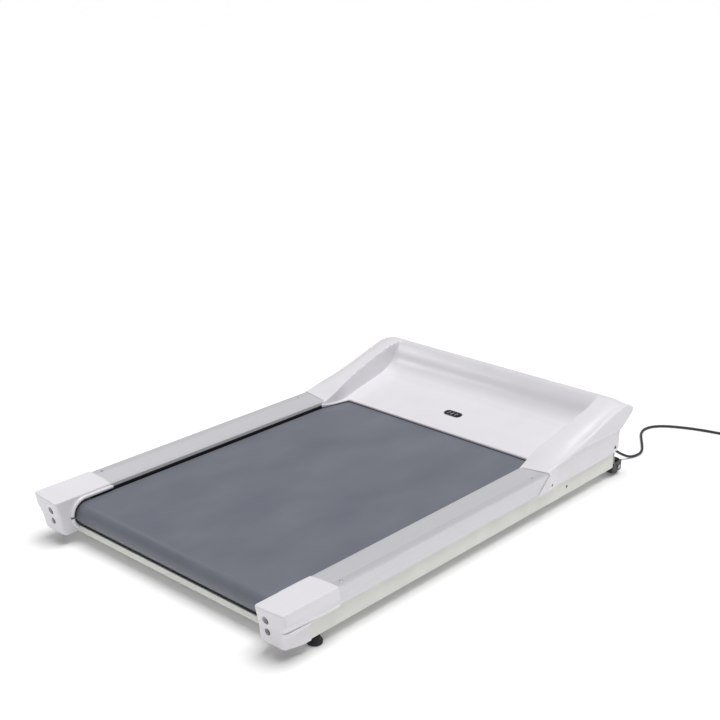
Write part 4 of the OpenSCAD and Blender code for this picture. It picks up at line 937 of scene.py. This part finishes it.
class BuildScrews(bpy.types.Operator):
    """Screws of the hood, the caps and the rails, each a domed head with a small round recess."""

    bl_idname = "treadmill.screws"
    bl_label = "Screws"

    def execute(self, context):
        # near black: the hood's screw heads fill their holes, so this colour is painted shade of the holes
        dark = satin_plastic("black_oxide_steel_and_hole_shade", "#1C1C1E", "#27272A")
        bright = zinc_plate("bright_zinc_screw", "#C6C8CA")
        parts = []
        for _, side in BOTH:
            for y, z in HOOD_SCREWS:
                parts.append(lathe([(side * 460, 0), (side * 460, 2), (side * 468, 2), (side * 468, 5.3),
                                    (side * 469.6, 4), (side * 470.6, 2.8), (side * 471, 1.6),
                                    (side * 470, 0.9), (side * 469.4, 0)], "x", (0, y, z), 24))
            # a near-black disc inside the tube, behind its accessory hole: painted shade in the hole
            parts.append(rod("x", 6.5, side * 456, side * 461.9, (0, ACCESSORY_Y, ACCESSORY_Z)))
            parts.append(lathe([(-700, 0), (-700, 2.2), (-713.1, 2.2), (-713.1, 5.6), (-715.4, 5.2),
                                (-716.6, 3.6), (-717, 2), (-716, 1.1), (-715.4, 0)], "y",
                               (side * CAP_HOLE_X, 0, CAP_SCREW_Z), 24))
        piece("shell_screws_and_hole_shade", "frame", dark, parts, ["case_screws"])
        bolts = []
        for _, side in BOTH:
            six = hexagon(6.4, side * CAP_HOLE_X, ADJUSTER_Z)
            bolts += [prism(rounded(six, 0.5, 3), "y", -707.5, -702.1, 0.7),
                      rod("y", 3, -702.3, -652, (side * CAP_HOLE_X, 0, ADJUSTER_Z))]
        piece("take_up_bolts", "frame", bright, bolts, ["adjuster_bolts"])
        seat = high("rail_screws")[2] - 1.6
        parts = [lathe([(seat - 8, 0), (seat - 8, 2), (seat - 0.2, 2), (seat - 0.2, 4), (seat + 0.7, 3.7),
                        (seat + 1.4, 2.6), (seat + 1.6, 1.5), (seat + 0.8, 0.9), (seat + 0.4, 0)], "z",
                       (side * 456, y, 0), 24) for _, side in BOTH for y in (-525, 245)]
        piece("rail_top_screws", "frame", bright, parts, ["rail_screws"])
        return {"FINISHED"}


class BuildBadge(bpy.types.Operator):
    """Badge on the dish: a gloss black pill with a thin bright rim and three plain slanted strokes."""

    bl_idname = "treadmill.badge"
    bl_label = "Badge"

    def execute(self, context):
        black = enamel("gloss_black_badge", colours().badge, "#18181B")
        silver = zinc_plate("polished_badge_metal", "#E4E5E8")
        lean, at_y = math.atan(33 / 183), 469.0
        at_z = float(hood_height(np.array(0.0), np.array(at_y)))

        def laid(part):
            u, v, w = part[0].T
            return np.column_stack([u, at_y + v * math.cos(lean) - w * math.sin(lean),
                                    at_z + v * math.sin(lean) + w * math.cos(lean)]), part[1]

        def pill(half_x, half_y, start, end):
            box = [(-half_x, -half_y), (half_x, -half_y), (half_x, half_y), (-half_x, half_y)]
            return laid(prism(rounded(box, half_y - 0.05, 14), "z", start, end, 0.4))

        strokes = [laid(prism(rounded([(c - 5, -7), (c, -7), (c + 5, 7), (c, 7)], 0.6, 3), "z",
                              0.6, 1.35, 0.15)) for c in (-16, -2, 12)]
        piece("badge_ground", "frame", black, [pill(31.2, 13.2, -0.4, 1.1)],
              ["hood_badge"])
        piece("badge_marks", "frame", silver, [pill(33, 15, -0.4, 0.7), *strokes])
        return {"FINISHED"}


class BuildSteelFrame(bpy.types.Operator):
    """Welded frame: two side tubes with an accessory hole, a rear angle, cross tubes and brackets."""

    bl_idname = "treadmill.steel_frame"
    bl_label = "Steel frame"

    def execute(self, context):
        coat = powder_coat("powder_coated_steel", colours().frame)
        base, top = low("frame_side_right")[2], high("frame_side_right")[2]
        rear, front, wall = -650, high("frame_side_right")[1], 2.0
        outer = rounded([(TUBE_IN, base), (TUBE_OUT, base), (TUBE_OUT, top), (TUBE_IN, top)], 3.5, 6)
        bore = inset(outer, wall)
        rows = np.array([placed(outline, "y", y) for outline, y in (
            (outer, rear), (outer, front), (bore, front), (bore, rear))])
        for word, side in BOTH:
            tube = piece(f"side_tube_{word}", "frame", coat,
                         [mirrored(grid(rows, close_rows=True, close_columns=True), side)],
                         [f"frame_side_{word}"])
            pierce(tube, [rod("x", 4.8, side * 458, side * 470, (0, ACCESSORY_Y, ACCESSORY_Z))])
        black = powder_coat("black_powder_coat", "#2A2A2D", "#1F1F22")
        for node, paint in (("frame_rear_angle", coat), ("wheel_brackets", black)):
            eased_edges(f"eased_{node}", node, "frame", paint, 0.8)
        dress(["cross_tube_rear", "cross_tube_mid", "cross_tube_front"], coat)
        return {"FINISHED"}


class BuildFeetWheels(bpy.types.Operator):
    """Levelling feet and transport wheels: turned profiles."""

    bl_idname = "treadmill.feet_wheels"
    bl_label = "Feet and wheels"

    def execute(self, context):
        rubber = moulded_rubber("moulded_black_rubber", colours().rubber)
        zinc = zinc_plate("zinc_plated_steel")
        for word, side in BOTH:
            at = (side * TUBE_MID, float(low(f"foot_{word}")[1] + high(f"foot_{word}")[1]) / 2, 0)
            pad = [(0, 0), (0, 17), (0.6, 18.6), (1.6, 19.6), (3, 20), (7.6, 20), (8.6, 19.7), (9.4, 18.8),
                   (11, 17.4), (14, 15.6), (18, 13.6), (20, 13), (20, 0)]
            top = high(f"foot_{word}")[2]
            turns = np.arange(30, top - 1, 0.5)
            thread = [(z, 4.0 if i % 2 else 3.55) for i, z in enumerate(turns)]
            piece(f"foot_pad_{word}", f"{word}_foot", rubber,
                  [lathe(pad, "z", at)], [f"foot_{word}"])
            piece(f"foot_stud_{word}", f"{word}_foot", zinc,
                  [prism(rounded(hexagon(9.2, *at[:2]), 0.6, 3), "z", 20, 28, 0.8),
                   lathe([(28, 0), (28, 4), *thread, (top, 3), (top, 0)], "z", at, 24)])
            wheel = f"wheel_{word}"
            mid = (low(wheel) + high(wheel)) / 2
            half = (high(wheel)[0] - low(wheel)[0]) / 2
            r = (high(wheel)[2] - low(wheel)[2]) / 2
            tread = [(-half, 5), (-half, 9), (-half + 1.5, 9.6), (-half + 1.5, r - 7), (-half, r - 6),
                     (-half, r - 2.5), (-half + 0.8, r - 1), (-half + 2.5, r)]
            piece(f"transport_{wheel}", f"{word}_wheel", rubber,
                  [lathe(tread + [(-a, b) for a, b in tread[::-1]] + [(-half, 5)], "x", mid)], [wheel])
        return {"FINISHED"}


class DressRunningGear(bpy.types.Operator):
    """Deck, rollers, drive and tension parts: their shapes stay and each gets its own finish."""

    bl_idname = "treadmill.running_gear"
    bl_label = "Running gear finishes"

    def execute(self, context):
        rubber = bpy.data.materials["moulded_black_rubber"]
        dress(["deck_cushions", "drive_belt"], rubber)
        dress(["deck_screws", "rear_axle", "front_axle", "take_up_blocks", "front_axle_blocks",
               "wheel_axles", "motor_bolts", "motor_tray", "motor_saddle"],
              bpy.data.materials["zinc_plated_steel"])
        dress(["deck_board"], laminated_board("phenolic_faced_board"))
        # the strips are black rubber, painted nearer black than the other rubber with almost no dust:
        # partly painted shade in the gap between rail and belt
        dress(["edge_strips"], moulded_rubber("black_edge_rubber_and_gap_shade", "#0B0B0C", "#111113"))
        dress(["rear_drum", "front_drum"], turned_steel("turned_steel"))
        dress(["rear_bearings", "front_bearings", "motor_bearings"],
              turned_steel("ground_bearing_steel", "#C6C7CA", 0.4))
        dress(["driven_pulley", "motor_pulley", "motor_bells"],
              cast_metal("cast_aluminium", "#B5B6B8", "#9C9DA0"))
        dress(["flywheel"], cast_metal("cast_iron", "#4B4A49", "#393837", 2.0, 0.62))
        dress(["motor_can"], enamel("black_motor_enamel", "#26272A", "#1C1D20"))
        dress(["motor_magnets"], cast_metal("ferrite_magnet", "#3A3A3D", "#2B2B2E", 1.0, 0.6))
        left, right = low("motor_rotor")[0] * MM, high("motor_rotor")[0] * MM
        third = (right - left) / 3
        dress(["motor_rotor"], wound_copper("wound_rotor", "#77787C", left + third, right - third))
        return {"FINISHED"}


class DressElectrics(bpy.types.Operator):
    """Controller, choke, switch, breaker and loom: their shapes stay and each gets its own finish."""

    bl_idname = "treadmill.electrics"
    bl_label = "Electrical finishes"

    def execute(self, context):
        board_thick, choke_bare = 9.6, 12
        dress(["controller_board"], solder_mask("green_circuit_board",
                                                low("controller_board")[2] + board_thick))
        dress(["heat_sink"], brushed_anodised_aluminium("black_heat_sink", "#8E9094"))
        dress(["choke"], wound_copper("wound_choke", "#4A4B4F", (low("choke")[0] + choke_bare) * MM,
                                      (high("choke")[0] - choke_bare) * MM))
        dress(["wire_harness"], satin_plastic("wire_pvc", "#B3272B", "#8E1F23", 0.4))
        dress(["switch_body", "breaker_body"],
              satin_plastic("moulded_black_nylon", "#1D1D20", "#29292D", 0.45))
        red = satin_plastic("translucent_red_rocker", "#B01E22", "#9A1A1E", 0.2)
        eased_edges("rocker_key", "switch_rocker", "rocker", red, 0.5)
        eased_edges("reset_key", "breaker_button", "reset_button",
                    satin_plastic("moulded_white_nylon", "#E6E6E2", "#D8D8D4", 0.4), 0.4)
        return {"FINISHED"}


# the camera's place, its angles (round, down, rolled, in degrees) and its lens
CAMERA_AT_M = (2.2498, -2.4301, 1.5996)
CAMERA_ANGLES = (42.324, 19.3945, 0.067)
LENS_MM = 63.5165


class BuildStage(bpy.types.Operator):
    """Studio: pale floor, soft overhead light, even surroundings and the camera."""

    bl_idname = "treadmill.stage"
    bl_label = "Studio"

    def execute(self, context):
        scene = context.scene
        paper = grained("seamless_paper_floor", colours().floor, "#F6F6F6", share=0.3, blotch_mm=700,
                        rough_mm=40, rough=(0.9, 1.0), grain_mm=3, depth_mm=0.02, strength=0.2,
                        Specular_IOR_Level=0.1, Emission_Color="#FFFFFF", Emission_Strength=0.12)
        reach = np.linspace(-60000, 60000, 25)
        x, y = np.meshgrid(reach, reach, indexing="ij")
        mesh = bpy.data.meshes.new("floor")
        points, faces = grid(np.stack([x, y, 0 * x - 0.2], -1))
        mesh.from_pydata(points * MM, [], faces)
        floor = bpy.data.objects.new("floor", mesh)
        scene.collection.objects.link(floor)
        mesh.materials.append(paper)
        world = bpy.data.worlds.new("studio")
        world.use_nodes = True
        world.node_tree.nodes.clear()
        # the surroundings give little light but look as pale as the floor
        room = add_node(world.node_tree, "ShaderNodeBackground", {}, {
            "Color": "#FDFDFF", "Strength": 0.24})
        wall = add_node(world.node_tree, "ShaderNodeBackground", {}, {
            "Color": "#F7F7F8", "Strength": 1.0})
        seen = add_node(world.node_tree, "ShaderNodeLightPath")
        both = add_node(world.node_tree, "ShaderNodeMixShader", {}, {
            0: seen.outputs["Is Camera Ray"], 1: room.outputs[0], 2: wall.outputs[0]})
        add_node(world.node_tree, "ShaderNodeOutputWorld", {}, {"Surface": both.outputs[0]})
        scene.world = world

        def lamp(name, kind, place, aim, **settings):
            light = bpy.data.lights.new(name, kind)
            for key, value in settings.items():
                setattr(light, key, value)
            held = bpy.data.objects.new(name, light)
            scene.collection.objects.link(held)
            held.location = place
            held.rotation_euler = (Vector(aim) - Vector(place)).to_track_quat("-Z", "Y").to_euler()

        lamp("overhead", "SUN", (0.5, 0.5, 4.0), (0, 0, 0), energy=2.25, angle=math.radians(40))
        lamp("left_softbox", "AREA", (-2.4, -0.8, 2.6), (0, 0.4, 0.1), energy=8, shape="RECTANGLE",
             size=1.0, size_y=0.6)
        lamp("right_softbox", "AREA", (1.4, 3.0, 2.6), (0.3, 0.2, 0.1), energy=4, shape="RECTANGLE",
             size=1.2, size_y=0.5)
        turn, tilt, roll = (math.radians(angle) for angle in CAMERA_ANGLES)
        back = Vector((math.sin(turn) * math.cos(tilt), -math.cos(turn) * math.cos(tilt),
                       math.sin(tilt)))
        right = (-back).cross(Vector((0, 0, 1))).normalized()
        up = right.cross(-back)
        side = right * math.cos(roll) + up * math.sin(roll)
        rise = up * math.cos(roll) - right * math.sin(roll)
        camera = bpy.data.objects.new("camera", bpy.data.cameras.new("camera"))
        camera.data.sensor_width, camera.data.lens, camera.data.clip_end = 36, LENS_MM, 200
        scene.collection.objects.link(camera)
        camera.matrix_world = Matrix.Translation(CAMERA_AT_M) @ Matrix(
            (side, rise, back)).transposed().to_4x4()
        scene.camera = camera
        scene.view_settings.view_transform = "Standard"
        return {"FINISHED"}


STEPS = (BuildStage, BuildLead, BuildBelt, BuildRails, BuildCaps, BuildHood, BuildScrews, BuildBadge,
         BuildSteelFrame, BuildFeetWheels, DressRunningGear, DressElectrics)


class TreadmillPanel(bpy.types.Panel):
    """Sidebar panel that lists the sizes, the colours and the building steps."""

    bl_idname = "VIEW3D_PT_treadmill"
    bl_label = "Walking treadmill"
    bl_space_type = "VIEW_3D"
    bl_region_type = "UI"
    bl_category = "Treadmill"

    def draw(self, context):
        for held in (context.scene.treadmill_sizes, context.scene.treadmill_colours):
            for key in held.__annotations__:
                self.layout.prop(held, key)
        for step in STEPS:
            self.layout.operator(step.bl_idname)


CLASSES = (TreadmillSizes, TreadmillColours, *STEPS, TreadmillPanel)


def register():
    for kind in CLASSES:
        bpy.utils.register_class(kind)
    bpy.types.Scene.treadmill_sizes = bpy.props.PointerProperty(type=TreadmillSizes)
    bpy.types.Scene.treadmill_colours = bpy.props.PointerProperty(type=TreadmillColours)


def unregister():
    del bpy.types.Scene.treadmill_colours
    del bpy.types.Scene.treadmill_sizes
    for kind in reversed(CLASSES):
        bpy.utils.unregister_class(kind)


def main():
    """Builds everything in order."""
    register()
    for step in STEPS:
        group, name = step.bl_idname.split(".")
        getattr(getattr(bpy.ops, group), name)()
    bpy.context.view_layer.update()


if __name__ == "__main__":
    main()
